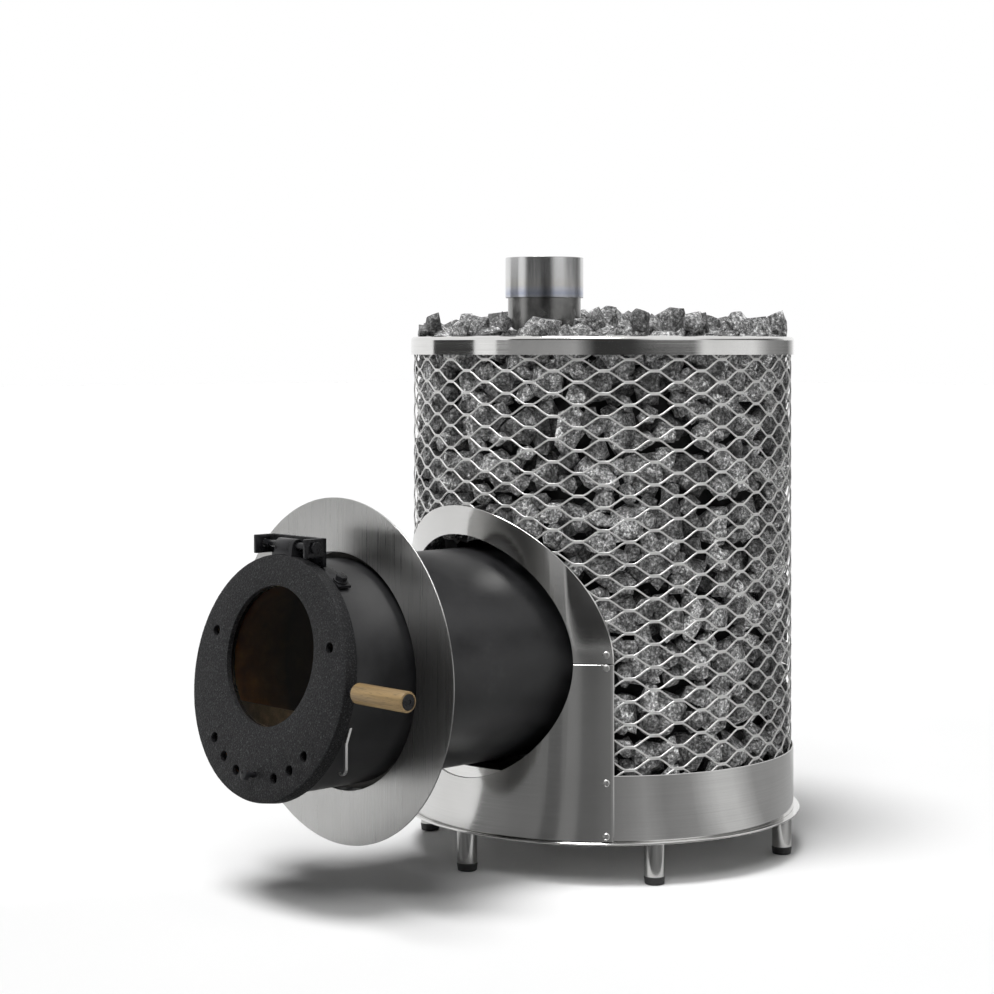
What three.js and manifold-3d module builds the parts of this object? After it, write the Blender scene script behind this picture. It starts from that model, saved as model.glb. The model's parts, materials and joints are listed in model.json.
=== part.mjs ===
// Through-wall sauna stove: a round cage of heater stones on legs, a fire tunnel with a tilted top-hung door,
// a flue pipe and a wall flange. Millimetres, +Z up, the door towards -Y and its grip towards +X.
// Everything is modelled about the cage axis with the floor at z = 0.
import * as THREE from 'three';
import { mergeVertices } from 'three/addons/utils/BufferGeometryUtils.js';
import Module from 'manifold-3d';

const wasm = await Module();
wasm.setup();

// Fits
const seatGap = 0.3; // left between two pieces that bear on each other
const weldDistance = 0.0001; // corners closer than this are one corner
const beyond = 2000; // a reach past the whole stove, for cutting tools

// Legs and base plate
const legCount = 6;
const legRadius = 15;
const legHeight = 50;
const legInset = 14; // from the cage surface to the circle through the legs
const firstLegAngle = Math.PI / 6; // from +X
const footRadius = 15.6;
const footTaper = 1.6; // how much narrower the foot is on the floor
const footHeight = 11;
const baseThickness = 3;
const baseOverhang = 9.5; // base plate past the cage surface

// Cage of expanded metal between a lower band and a top rim
const cageRadius = 300;
const sheetThickness = 2;
const bandHeight = 96;
const meshHeight = 608; // mesh that shows between band and rim
const meshTuck = 14; // mesh hidden behind the band, and as much behind the rim
const meshColumns = 21;
const meshRows = 14;
const bondLength = 9;
const bondHeight = 4;
const strandDepth = 3;
const meshPanelCount = 7;
const meshTurn = 0.25; // of a column, so that the front's middle falls between bonds
const panelGap = 1; // between a strand's end and the next panel's bond, measured round the cage
const rimHeight = 22;
const rimChamfer = 6;
const rimOverhang = 1; // rim past the cage surface
const rimThickness = 1.6;

// Front shield plates round the tunnel
const shieldHalfWidth = 223;
const shieldMeshOverlap = 46; // mesh that carries on behind the shield's edge
const shieldHoleGap = 12; // open ring between the tunnel and the shield

// Fire tunnel and firebox
const tunnelRadius = 159;
const tunnelWall = 6;
const tunnelAboveBase = 257; // tunnel axis above the base plate
const fireboxDepth = 170; // back end of the tunnel behind the cage axis
const backThickness = 6;
const grateDrop = 95; // grate's top below the tunnel axis
const grateThickness = 8;
const grateBehindGuard = 46; // from the log guard's front to the grate's front end
const grateSlotCount = 9;
const grateSlotWidth = 12;
const grateSlotPitch = 40;
const grateSideBar = 30; // plain edge beside the slots
const guardBehindDoor = 52; // from the middle of the door's face to the log guard's front
const guardDrop = 50; // log guard's top edge below the tunnel axis
const guardThickness = 5;
const baffleRise = 85; // baffle's underside above the tunnel axis
const baffleThickness = 6;
const baffleFront = 290; // baffle's front end ahead of the cage axis
const baffleBackSlot = 70; // way left for the smoke behind the baffle
const cradleThickness = 6;
const cradleHalfWidth = 110;
const cradlePlaces = { cradle_front: -170, cradle_rear: 110 };

// Flue
const flueRadius = 56;
const flueWall = 2;
const flueInset = 174; // flue axis behind the cage's front
const flueDip = 12; // pipe end below the crown of the tunnel's inside
const flueRise = 59; // black pipe that shows above the rim
const collarHeight = 62;
const collarWall = 3.7;
const collarOverlap = 30; // pipe inside the collar

// Wall flange
const flangeBehindDoor = 127; // from the middle of the door's face to the flange's front
const flangeRadius = 245;
const flangeThickness = 2;
const flangeTunnelGap = 9;
const flangeCollarDepth = 26;
const sealDepth = 12;

// Door, in its own frame: face at y = 0, depth towards +Y, middle of the disc at z = 0
const doorReach = 658; // middle of the door's face ahead of the cage axis
const doorTilt = THREE.MathUtils.degToRad(9); // the top leans back
const doorOverhang = 11; // door past the tunnel
const doorPlate = 8;
const doorRimDepth = 20;
const doorRimWall = 7;
const doorEdgeRound = 2;
const gasketWidth = 9;
const gasketDepth = 10;
const windowRadius = 97;
const windowTopMargin = 6; // from the glass retainer to the gasket
const glassLap = 10; // glass past the window's edge
const glassThickness = 5;
const retainerLip = 7;
const retainerThickness = 2.5;
const airHoleRadius = 7.6;
const airHoleInset = 37; // circle of the air holes inside the door's edge
const lowerHoleAngles = [19, 34.5, 50]; // each side of straight down
const upperHoleAngle = 24; // each side, above level

// Air valve on the door
const knobStemRadius = 4;
const knobRadius = 7.5;
const knobLength = 11;
const knobReach = 33; // knob's end ahead of the door's face
const valveOpening = 8; // valve plate behind the door plate when open
const valveThickness = 2.5;
const valveLap = 6; // valve plate past the holes it covers
const valveEndAngle = 58; // valve plate each side of straight down

// Door hinge
const pinRadius = 5;
const pinRise = 14; // pin axis above the door's edge
const pinDepth = 10; // pin axis behind the door's face
const pinOverhang = 4;
const barrelRadius = 9.5;
const barrelLength = 41;
const bracketHalfLength = 59;
const bracketPlate = 5.5;
const bracketForward = 17; // ears ahead of the pin
const bracketBack = 20; // back of the web behind the pin
const bracketAbove = 12;
const bracketBelow = 14;
const saddleWidth = 22;
const saddleDoorGap = 2; // strap behind the door's rim
const saddleThickness = 4;
const saddleHalfAngle = THREE.MathUtils.degToRad(28);
const saddleTab = 25;
const boltHeadRadius = 8.5;
const boltHeadHeight = 7;
const washerRadius = 10.5;
const washerThickness = 2;

// Door grip
const gripRadius = 14;
const gripLength = 110;
const gripStub = 10; // bare rod between door and grip
const gripRound = 2.5;
const rodRadius = 5;
const capRadius = 12;
const capThickness = 8;

// Bright hook strip at the side of the tunnel
const hookDrop = 60; // its welded top below the tunnel axis
const hookLength = 54;
const hookThickness = 3;
const hookWidth = 10;
const hookBend = 7;
const hookWrap = 0.75 * Math.PI; // turn of its bend
const hookBehindDoor = 20; // from the middle of the door's face to the middle of the hook

// Stone fill
const stonePitch = 80; // from one stone to the next round the cage
const coursePitch = 69; // from one course of stones to the next
const heapPitch = 78; // from one stone to the next on the heap
const stoneRelief = 34; // from a stone's face to the bottom of the gaps round it
const stoneEdgeCorners = 6; // three below and three above
const stoneFaceCorners = 3;
const stoneFaceShare = [0.6, 0.9]; // least and most place of a face's corner on the way to the stone's edge
const stoneFaceInset = 12; // how far a corner of a stone's face may lie back
const stoneJitter = 0.36; // share of the pitch by which the corners between stones lie out of line
const stoneZigzag = 1 / 6; // share of a course by which every other corner between stones lies higher
const stoneCrown = 42; // heap at its middle above the rim
const stoneShoulder = 14; // heap at its edge above the rim
const heapDepth = 150; // lowest point of the heap under the rim
const tunnelStoneGap = 6;
const stoneSplitAbove = 8; // parting of lower and upper stones above the tunnel

// Repeatable scatter: steps from one column, row and purpose to the next, and the purposes
const scatterSteps = { column: 12.9898, row: 78.233, purpose: 37.719, scale: 43758.5453 };
const scatterFor = { across: 1, along: 2, faceShare: 10, faceInset: 20 };

// Facets of round pieces
const cageFacets = 40;
const tunnelFacets = 32;
const archFacets = 12;
const windowFacets = 24;
const flueFacets = 20;
const rodFacets = 12;
const holeFacets = 10;
const bendFacets = 6; // of a quarter turn or so

// Heights and radii that follow
const legTop = footHeight + legHeight;
const baseTop = legTop + baseThickness;
const bandTop = baseTop + bandHeight;
const rimBottom = bandTop + meshHeight;
const rimShoulder = rimBottom + rimHeight;
const rimTop = rimShoulder + rimChamfer;
const cageFlat = Math.cos(Math.PI / cageFacets); // a faceted circle's flats lie this much nearer its middle
const tunnelFlat = Math.cos(Math.PI / tunnelFacets);
const meshRadius = (cageRadius - sheetThickness) * cageFlat - seatGap;
const axisHeight = baseTop + tunnelAboveBase;
const tunnelBore = tunnelRadius - tunnelWall;
const flueOffset = cageRadius - flueInset; // flue axis ahead of the cage axis
const guardReach = doorReach - guardBehindDoor;
const grateFront = guardReach - grateBehindGuard;
const hookReach = doorReach - hookBehindDoor;
const flangeReach = doorReach - flangeBehindDoor; // front of the flange ahead of the cage axis
const doorRadius = tunnelRadius + doorOverhang;
const gasketOuter = tunnelRadius + seatGap;
const gasketInner = gasketOuter - gasketWidth;
const retainerRadius = windowRadius + glassLap + seatGap + retainerLip;
const windowRise = gasketInner - windowTopMargin - retainerRadius;
const airHoleCircle = doorRadius - airHoleInset;
const tunnelEndDepth = doorPlate + gasketDepth + 2 * seatGap;
const pinHeight = doorRadius + pinRise;

// Finishes
const finish = (color, roughness, metalness) => ({ color, roughness, metalness });
const stainless = finish('#b9b9b6', 0.32, 1);
const blackSteel = finish('#26272a', 0.5, 0.6);
const castBlack = finish('#2f3032', 0.75, 0.3);
const hingeBlack = finish('#151618', 0.35, 0.4);
const barePolish = finish('#d4d3cd', 0.25, 1);
const firebrickSteel = finish('#3a3733', 0.85, 0.4);
const rope = finish('#5b5954', 0.95, 0);
const oak = finish('#b58a55', 0.6, 0);
const smokedGlass = finish('#3a2a1a', 0.08, 0);
const footBlack = finish('#121212', 0.7, 0);
const stone = finish('#6d6e70', 0.92, 0);

// A three.js geometry with shared corners welded, as a solid for joining and cutting.
function solid(geometry) {
  const bare = geometry.clone();
  bare.deleteAttribute('normal');
  bare.deleteAttribute('uv');
  const welded = mergeVertices(bare, weldDistance);
  const corners = welded.index.array;
  const triVerts = [];
  for (let i = 0; i < corners.length; i += 3) {
    const [a, b, c] = corners.subarray(i, i + 3);
    if (a !== b && b !== c && c !== a) triVerts.push(a, b, c);
  }
  return new wasm.Manifold(new wasm.Mesh({
    numProp: 3,
    vertProperties: welded.attributes.position.array,
    triVerts: new Uint32Array(triVerts),
  }));
}

function cut(body, ...tools) {
  return tools.reduce((rest, tool) => rest.subtract(solid(tool)), body);
}

// The biggest piece left by a cut: loose offcuts fall away.
function largest(body) {
  return body.decompose().sort((a, b) => b.volume() - a.volume())[0];
}

function piece(parent, name, body, look) {
  const mesh = body.getMesh();
  const geometry = new THREE.BufferGeometry();
  geometry.setAttribute('position', new THREE.BufferAttribute(mesh.vertProperties, mesh.numProp));
  geometry.setIndex(new THREE.BufferAttribute(mesh.triVerts, 1));
  geometry.computeVertexNormals();
  const result = new THREE.Mesh(geometry, new THREE.MeshStandardMaterial(look));
  result.name = name;
  parent.add(result);
  return result;
}

// Turned round the Y axis from a closed outline of [radius, y] corners.
function turned(outline, facets) {
  const points = [...outline, outline[0]].map(([radius, y]) => new THREE.Vector2(radius, y));
  return new THREE.LatheGeometry(points, facets);
}

const ringOutline = (inner, outer, low, high) => [[inner, low], [outer, low], [outer, high], [inner, high]];

const ring = (inner, outer, low, high, facets) => turned(ringOutline(inner, outer, low, high), facets);

// The same, standing round the Z axis.
const upright = (geometry) => geometry.rotateX(Math.PI / 2);

const uprightRing = (...sizes) => upright(ring(...sizes));

// A round bar along Y from one y to another.
function bar(radius, from, to, facets) {
  return new THREE.CylinderGeometry(radius, radius, to - from, facets).translate(0, (from + to) / 2, 0);
}

function box(low, high) {
  const size = high.map((value, i) => value - low[i]);
  const middle = high.map((value, i) => (value + low[i]) / 2);
  return new THREE.BoxGeometry(...size).translate(...middle);
}

// A flat outline drawn in x and z, given its thickness along y.
function frontPlate(shape, from, to, curveSegments = 12) {
  const geometry = new THREE.ExtrudeGeometry(shape, { depth: to - from, bevelEnabled: false, curveSegments });
  return geometry.rotateX(Math.PI / 2).translate(0, to, 0);
}

// Half width of a level plate that just fits across a round bore at a height from its middle.
const chord = (radius, height) => Math.sqrt(radius ** 2 - height ** 2);

const stove = new THREE.Group();

// Pieces round the tunnel axis are modelled with that axis on y, then lifted.
const onTunnel = (geometry) => geometry.translate(0, 0, axisHeight);

// Legs, feet and base plate
function makeBase() {
  const plate = uprightRing(0, cageRadius + baseOverhang, legTop, baseTop, cageFacets);
  piece(stove, 'base_plate', solid(plate), stainless);
  for (let i = 0; i < legCount; i++) {
    const angle = firstLegAngle + (i * 2 * Math.PI) / legCount;
    const x = (cageRadius - legInset) * Math.cos(angle);
    const y = (cageRadius - legInset) * Math.sin(angle);
    const tube = upright(bar(legRadius, footHeight, legTop, rodFacets)).translate(x, y, 0);
    piece(stove, `leg_tube_${i + 1}`, solid(tube), stainless);
    const foot = new THREE.CylinderGeometry(footRadius, footRadius - footTaper, footHeight, rodFacets);
    upright(foot).translate(x, y, footHeight / 2);
    piece(stove, `leg_foot_${i + 1}`, solid(foot), footBlack);
  }
}

// Lower band and top rim
function makeBandAndRim() {
  const band = uprightRing(cageRadius - sheetThickness, cageRadius, baseTop, bandTop, cageFacets);
  piece(stove, 'lower_band', solid(band), stainless);
  const outer = cageRadius + rimOverhang;
  const inner = cageRadius - sheetThickness;
  const rim = upright(turned([
    [inner, rimBottom],
    [outer, rimBottom],
    [outer, rimShoulder],
    [outer - rimChamfer, rimTop],
    [outer - rimChamfer - rimThickness, rimTop - rimThickness],
    [inner, rimShoulder - rimThickness],
  ], cageFacets));
  piece(stove, 'top_rim', solid(rim), stainless);
}

// Straight-sided arch of the shield, drawn in x and z.
function archShape(halfWidth, bottom) {
  const shape = new THREE.Shape();
  shape.moveTo(-halfWidth, bottom);
  shape.lineTo(halfWidth, bottom);
  shape.lineTo(halfWidth, axisHeight);
  shape.absarc(0, axisHeight, halfWidth, 0, Math.PI, false);
  return shape;
}

// One panel of expanded metal on the cage's cylinder: staggered rows of bonds, joined to their neighbours
// by slanting strands. A strand is a three-sided bar with a flat outer face and a ridge behind it. It belongs
// to the panel of its lower bond, and stops just short of a bond of the next panel.
function expandedMetal(panel) {
  const columns = meshColumns / meshPanelCount;
  const pitch = (2 * Math.PI) / meshColumns;
  const halfRow = (meshHeight + 2 * meshTuck - bondHeight) / (2 * meshRows);
  const halfBond = bondLength / 2 / meshRadius;
  const first = panel * columns;
  const angleAt = (column, row) => -Math.PI / 2 + (column - columns / 2 + meshTurn + (row % 2) / 2) * pitch;
  const heightAt = (row) => bandTop - meshTuck + bondHeight / 2 + row * halfRow;
  const behindShield = (column, row) => {
    const angle = angleAt(column, row);
    const rise = Math.max(heightAt(row) - axisHeight, 0);
    const across = Math.hypot(meshRadius * Math.cos(angle), rise);
    return Math.sin(angle) < 0 && across < shieldHalfWidth - shieldMeshOverlap;
  };
  const exists = (column, row) => row >= 0 && row <= 2 * meshRows && !behindShield(column, row);
  const inPanel = (column, row) => column >= first && column < first + columns && exists(column, row);

  const positions = [];
  const triangles = [];
  const corner = (angle, z, radius) => {
    positions.push(radius * Math.cos(angle), radius * Math.sin(angle), z);
    return positions.length / 3 - 1;
  };
  const makeBond = (column, row, shift) => {
    const angle = angleAt(column, row) + shift;
    const z = heightAt(row);
    return {
      left: corner(angle - halfBond, z, meshRadius),
      right: corner(angle + halfBond, z, meshRadius),
      top: corner(angle, z + bondHeight / 2, meshRadius),
      bottom: corner(angle, z - bondHeight / 2, meshRadius),
      ridge: corner(angle, z, meshRadius - strandDepth),
    };
  };
  const bonds = {};
  for (let row = 0; row <= 2 * meshRows; row++) {
    for (let column = first; column < first + columns; column++) {
      if (exists(column, row)) bonds[[column, row]] = makeBond(column, row, 0);
    }
  }
  const triangle = (a, b, c) => triangles.push(a, b, c);
  const quad = (a, b, c, d) => triangles.push(a, b, c, a, c, d);
  // The far end of a strand: a bond of this panel, or an end face of its own short of the next panel's bond
  const farEnd = (column, row, side) => {
    if (inPanel(column, row)) return bonds[[column, row]];
    const end = makeBond(column, row, (-side * panelGap) / meshRadius);
    if (side > 0) triangle(end.bottom, end.ridge, end.left);
    else triangle(end.right, end.ridge, end.bottom);
    return end;
  };
  for (let row = 0; row <= 2 * meshRows; row++) {
    for (let column = first; column < first + columns; column++) {
      const bond = bonds[[column, row]];
      if (!bond) continue;
      quad(bond.left, bond.bottom, bond.right, bond.top);
      const right = column + (row % 2);
      if (exists(right, row + 1)) {
        const end = farEnd(right, row + 1, 1);
        quad(bond.right, end.bottom, end.left, bond.top);
        quad(end.bottom, bond.right, bond.ridge, end.ridge);
        quad(bond.top, end.left, end.ridge, bond.ridge);
      } else triangle(bond.top, bond.right, bond.ridge);
      if (exists(right - 1, row + 1)) {
        const end = farEnd(right - 1, row + 1, -1);
        quad(bond.top, end.right, end.bottom, bond.left);
        quad(end.right, bond.top, bond.ridge, end.ridge);
        quad(bond.left, end.bottom, end.ridge, bond.ridge);
      } else triangle(bond.left, bond.top, bond.ridge);
      if (!inPanel(right, row - 1)) triangle(bond.right, bond.bottom, bond.ridge);
      if (!inPanel(right - 1, row - 1)) triangle(bond.bottom, bond.left, bond.ridge);
    }
  }
  const geometry = new THREE.BufferGeometry();
  geometry.setAttribute('position', new THREE.Float32BufferAttribute(positions, 3));
  geometry.setIndex(triangles);
  return geometry;
}

function makeMesh() {
  for (let panel = 0; panel < meshPanelCount; panel++) {
    piece(stove, `mesh_panel_${panel + 1}`, solid(expandedMetal(panel)), stainless);
  }
}

// Upper and lower shield plate, bent to the cage and parted at the tunnel axis
function makeShield() {
  const inner = cageRadius + seatGap;
  const hole = onTunnel(bar(tunnelRadius + shieldHoleGap, -beyond, 0, tunnelFacets));
  const arch = frontPlate(archShape(shieldHalfWidth, 0), -beyond, 0, archFacets);
  const sheets = {
    shield_lower: [baseTop + seatGap, axisHeight - seatGap / 2],
    shield_upper: [axisHeight + seatGap / 2, axisHeight + shieldHalfWidth + seatGap],
  };
  for (const [name, [low, high]] of Object.entries(sheets)) {
    const sheet = uprightRing(inner, inner + sheetThickness, low, high, cageFacets);
    piece(stove, name, cut(solid(sheet).intersect(solid(arch)), hole), stainless);
  }
}

// Fire tunnel with its slanted front end, back plate, and the plates inside
function makeFirebox(doorMatrix) {
  const tube = onTunnel(ring(tunnelBore, tunnelRadius, -beyond, fireboxDepth, tunnelFacets));
  const aheadOfSeat = box([-beyond, -2 * beyond, -beyond], [beyond, tunnelEndDepth, beyond]);
  const flueHole = upright(bar(flueRadius + seatGap, axisHeight, beyond, flueFacets));
  flueHole.translate(0, -flueOffset, 0);
  const tunnel = cut(solid(tube), aheadOfSeat.applyMatrix4(doorMatrix), flueHole);
  piece(stove, 'fire_tunnel', tunnel, blackSteel);
  const inside = tunnelBore - seatGap;
  const backFront = fireboxDepth - backThickness;
  const back = onTunnel(ring(0, inside, backFront, fireboxDepth, tunnelFacets));
  piece(stove, 'firebox_back', solid(back), blackSteel);

  const facetBore = inside * tunnelFlat;
  const grateHalf = chord(facetBore, grateDrop + grateThickness);
  const grateBack = backFront - seatGap;
  const slots = [];
  for (let i = 0; i < grateSlotCount; i++) {
    const middle = grateBack - grateSlotPitch * (i + 1);
    const halfSlot = grateHalf - grateSideBar;
    const low = [-halfSlot, middle - grateSlotWidth / 2, -beyond];
    slots.push(box(low, [halfSlot, middle + grateSlotWidth / 2, beyond]));
  }
  const grateLow = [-grateHalf, -grateFront, -grateDrop - grateThickness];
  const gratePlate = box(grateLow, [grateHalf, grateBack, -grateDrop]);
  piece(stove, 'grate', cut(solid(onTunnel(gratePlate)), ...slots), firebrickSteel);

  const baffleHalf = chord(facetBore, baffleRise + baffleThickness);
  const baffleLow = [-baffleHalf, -baffleFront, baffleRise];
  const baffle = box(baffleLow, [baffleHalf, backFront - baffleBackSlot, baffleRise + baffleThickness]);
  piece(stove, 'baffle_plate', solid(onTunnel(baffle)), firebrickSteel);

  const guardDisc = onTunnel(ring(0, inside, -guardReach, -guardReach + guardThickness, tunnelFacets));
  const aboveGuard = box([-beyond, -beyond, axisHeight - guardDrop], [beyond, beyond, 2 * beyond]);
  piece(stove, 'log_guard', cut(solid(guardDisc), aboveGuard), firebrickSteel);

  for (const [name, y] of Object.entries(cradlePlaces)) {
    const low = [-cradleHalfWidth, y - cradleThickness / 2, baseTop];
    const block = box(low, [cradleHalfWidth, y + cradleThickness / 2, axisHeight]);
    const bed = onTunnel(bar(tunnelRadius + seatGap, -beyond, beyond, tunnelFacets));
    piece(stove, name, cut(solid(block), bed), blackSteel);
  }
}

// Flue pipe and its collar
function makeFlue() {
  const place = (geometry) => geometry.translate(0, -flueOffset, 0);
  const collarBottom = rimTop + flueRise;
  const pipeBottom = axisHeight + tunnelBore - flueDip;
  const pipeTop = collarBottom + collarOverlap;
  const pipe = uprightRing(flueRadius - flueWall, flueRadius, pipeBottom, pipeTop, flueFacets);
  piece(stove, 'flue_pipe', solid(place(pipe)), blackSteel);
  const bore = flueRadius + seatGap;
  const collar = uprightRing(bore, bore + collarWall, collarBottom, collarBottom + collarHeight, flueFacets);
  piece(stove, 'flue_collar', solid(place(collar)), stainless);
}

// Wall flange with its short collar, and the fibre seal between collar and tunnel
function makeFlange() {
  const bore = tunnelRadius + flangeTunnelGap;
  const front = -flangeReach;
  const back = front + flangeCollarDepth;
  const flange = turned([
    [bore, front],
    [flangeRadius, front],
    [flangeRadius, front + flangeThickness],
    [bore + flangeThickness, front + flangeThickness],
    [bore + flangeThickness, back],
    [bore, back],
  ], tunnelFacets);
  piece(stove, 'wall_flange', solid(onTunnel(flange)), stainless);
  const seal = ring(tunnelRadius + seatGap, bore - seatGap, back - sealDepth, back, tunnelFacets);
  piece(stove, 'tunnel_seal', solid(onTunnel(seal)), rope);
}

// Strap over the tunnel with a flat tab at each end, drawn in x and z about the tunnel axis
function saddleShape() {
  const inner = tunnelRadius + seatGap;
  const outer = inner + saddleThickness;
  const from = Math.PI / 2 - saddleHalfAngle;
  const to = Math.PI / 2 + saddleHalfAngle;
  const along = new THREE.Vector2(Math.sin(from), -Math.cos(from)).multiplyScalar(saddleTab);
  const shape = new THREE.Shape();
  const start = new THREE.Vector2(Math.cos(from), Math.sin(from));
  shape.moveTo(start.x * inner + along.x, start.y * inner + along.y);
  shape.lineTo(start.x * outer + along.x, start.y * outer + along.y);
  shape.absarc(0, 0, outer, from, to, false);
  shape.lineTo(-start.x * outer - along.x, start.y * outer + along.y);
  shape.lineTo(-start.x * inner - along.x, start.y * inner + along.y);
  shape.absarc(0, 0, inner, to, from, true);
  return shape;
}

// Saddle strap, its bolts, the U bracket on it and the hinge pin
function makeHinge(doorMatrix) {
  const pinPlace = new THREE.Vector3(0, pinDepth, pinHeight).applyMatrix4(doorMatrix);
  const rimCrown = new THREE.Vector3(0, doorRimDepth, doorRadius).applyMatrix4(doorMatrix);
  const webBack = pinPlace.y + bracketBack;
  const webFront = webBack - bracketPlate;
  const saddleFront = rimCrown.y + saddleDoorGap;
  const saddleMiddle = saddleFront + saddleWidth / 2;
  const strap = frontPlate(saddleShape(), saddleFront, saddleFront + saddleWidth, tunnelFacets / 4);
  piece(stove, 'hinge_saddle', solid(onTunnel(strap)), hingeBlack);

  for (const [side, sign] of [['right', 1], ['left', -1]]) {
    const head = bar(boltHeadRadius, washerThickness, washerThickness + boltHeadHeight, 6);
    const washer = bar(washerRadius, 0, washerThickness, holeFacets);
    const seat = tunnelRadius + saddleThickness + 2 * seatGap;
    const bolt = solid(head).add(solid(washer));
    const lift = new THREE.Matrix4().makeRotationX(Math.PI / 2);
    lift.premultiply(new THREE.Matrix4().makeTranslation(sign * saddleTab / 2, 0, seat));
    lift.premultiply(new THREE.Matrix4().makeRotationY(sign * saddleHalfAngle));
    lift.premultiply(new THREE.Matrix4().makeTranslation(0, saddleMiddle, axisHeight));
    piece(stove, `saddle_bolt_${side}`, bolt.transform(lift.toArray()), hingeBlack);
  }

  const pinHole = new THREE.CylinderGeometry(pinRadius + seatGap, pinRadius + seatGap, beyond, rodFacets);
  pinHole.rotateZ(Math.PI / 2).translate(0, pinPlace.y, pinPlace.z);
  const earShape = new THREE.Shape();
  const low = pinPlace.z - bracketBelow;
  const high = pinPlace.z + bracketAbove;
  const nose = Math.min(bracketBelow, bracketAbove);
  earShape.moveTo(webBack, low);
  earShape.lineTo(webBack, high);
  earShape.lineTo(pinPlace.y - bracketForward + nose, high);
  earShape.absarc(pinPlace.y - bracketForward + nose, high - nose, nose, Math.PI / 2, Math.PI, false);
  earShape.lineTo(pinPlace.y - bracketForward, low + nose);
  earShape.absarc(pinPlace.y - bracketForward + nose, low + nose, nose, Math.PI, Math.PI * 1.5, false);
  const settings = { depth: 2 * bracketHalfLength, bevelEnabled: false, curveSegments: bendFacets };
  const earBlock = new THREE.ExtrudeGeometry(earShape, settings);
  earBlock.rotateX(Math.PI / 2).rotateZ(Math.PI / 2).translate(-bracketHalfLength, 0, 0);
  const innerHalf = bracketHalfLength - bracketPlate;
  const between = box([-innerHalf, -beyond, -beyond], [innerHalf, webFront, beyond]);
  const webFoot = box([-innerHalf, webFront, axisHeight], [innerHalf, webBack, high]);
  const saddleCrown = (tunnelRadius + saddleThickness + 2 * seatGap) / tunnelFlat;
  const saddleTop = onTunnel(bar(saddleCrown, -beyond, beyond, tunnelFacets));
  const bracket = cut(solid(earBlock), between).add(solid(webFoot));
  piece(stove, 'hinge_bracket', cut(bracket, saddleTop, pinHole), hingeBlack);

  const pinHalf = bracketHalfLength + pinOverhang;
  const pin = bar(pinRadius, -pinHalf, pinHalf, rodFacets).rotateZ(Math.PI / 2);
  piece(stove, 'hinge_pin', solid(pin.translate(0, pinPlace.y, pinPlace.z)), hingeBlack);
}

// J-shaped strip that is welded to the tunnel's side by its top end
function makeHook() {
  const wall = chord(tunnelRadius + seatGap, hookDrop);
  const outer = hookBend + hookThickness;
  const bendMiddle = -hookDrop - hookLength + outer;
  const shape = new THREE.Shape();
  shape.moveTo(wall, -hookDrop);
  shape.lineTo(wall, bendMiddle);
  shape.absarc(wall - hookBend, bendMiddle, hookBend, 0, -hookWrap, true);
  shape.absarc(wall - hookBend, bendMiddle, outer, -hookWrap, 0, false);
  shape.lineTo(wall + hookThickness, -hookDrop);
  const strip = frontPlate(shape, -hookReach - hookWidth / 2, -hookReach + hookWidth / 2, bendFacets);
  piece(stove, 'side_hook', solid(onTunnel(strip)), barePolish);
}

// A repeatable number from 0 to 1 for one place of a stone sheet and one purpose
function chance(column, row, purpose) {
  const phase = column * scatterSteps.column + row * scatterSteps.row + purpose * scatterSteps.purpose;
  const wave = Math.sin(phase) * scatterSteps.scale;
  return wave - Math.floor(wave);
}

const average = (values) => values.reduce((sum, value) => sum + value, 0) / values.length;

// Angular stones in staggered rows. Each has an edge of six corners, shared with its neighbours, at the
// bottom of the gaps, and a face of fewer corners that stands out of them. The place function turns a column,
// a row and a relief, 0 in a gap and 1 on a face, into a point.
function stoneSheet(columns, rows, wraps, place, apexFor) {
  const positions = [];
  const triangles = [];
  const add = (point) => positions.push(...point) / 3 - 1;
  const halfColumns = 2 * columns;
  const known = {};
  const edgeCorner = (half, row) => {
    const column = wraps ? (half + halfColumns) % halfColumns : half;
    const key = [column, row];
    if (!(key in known)) {
      const lift = (half + row) % 2 === 0 ? -stoneZigzag : stoneZigzag;
      const across = column / 2 + stoneJitter * (chance(column, row, scatterFor.across) - 0.5);
      const along = row + lift + stoneJitter * (chance(column, row, scatterFor.along) - 0.5);
      known[key] = { across, along, index: add(place(across, along, 0)) };
    }
    return { ...known[key], across: known[key].across + (half - column) / 2 };
  };
  const faceOf = (corner) => Math.floor((corner * stoneFaceCorners) / stoneEdgeCorners);
  for (let row = 0; row < rows; row++) {
    for (let column = 0; column < columns; column++) {
      const half = 2 * column + (row % 2);
      const below = [half - 1, half, half + 1].map((corner) => edgeCorner(corner, row));
      const above = [half + 1, half, half - 1].map((corner) => edgeCorner(corner, row + 1));
      const edge = [...below, ...above];
      const middle = ['across', 'along'].map((axis) => average(edge.map((corner) => corner[axis])));
      const face = [];
      for (let i = 0; i < stoneFaceCorners; i++) {
        const near = edge.filter((corner, j) => faceOf(j) === i);
        const toward = ['across', 'along'].map((axis) => average(near.map((corner) => corner[axis])));
        const [least, most] = stoneFaceShare;
        const share = least + (most - least) * chance(half, row, scatterFor.faceShare + i);
        const inset = stoneFaceInset * chance(half, row, scatterFor.faceInset + i);
        const [across, along] = middle.map((value, axis) => value + share * (toward[axis] - value));
        face.push(add(place(across, along, 1 - inset / stoneRelief)));
      }
      edge.forEach((corner, i) => {
        const next = (i + 1) % stoneEdgeCorners;
        const [from, to] = [face[faceOf(i)], face[faceOf(next)]];
        triangles.push(corner.index, edge[next].index, to);
        if (from !== to) triangles.push(corner.index, to, from);
      });
      for (let i = 2; i < stoneFaceCorners; i++) triangles.push(face[0], face[i - 1], face[i]);
    }
  }
  closeSheet(positions, triangles, apexFor);
  const geometry = new THREE.BufferGeometry();
  geometry.setAttribute('position', new THREE.Float32BufferAttribute(positions, 3));
  geometry.setIndex(triangles);
  return solid(geometry);
}

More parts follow.
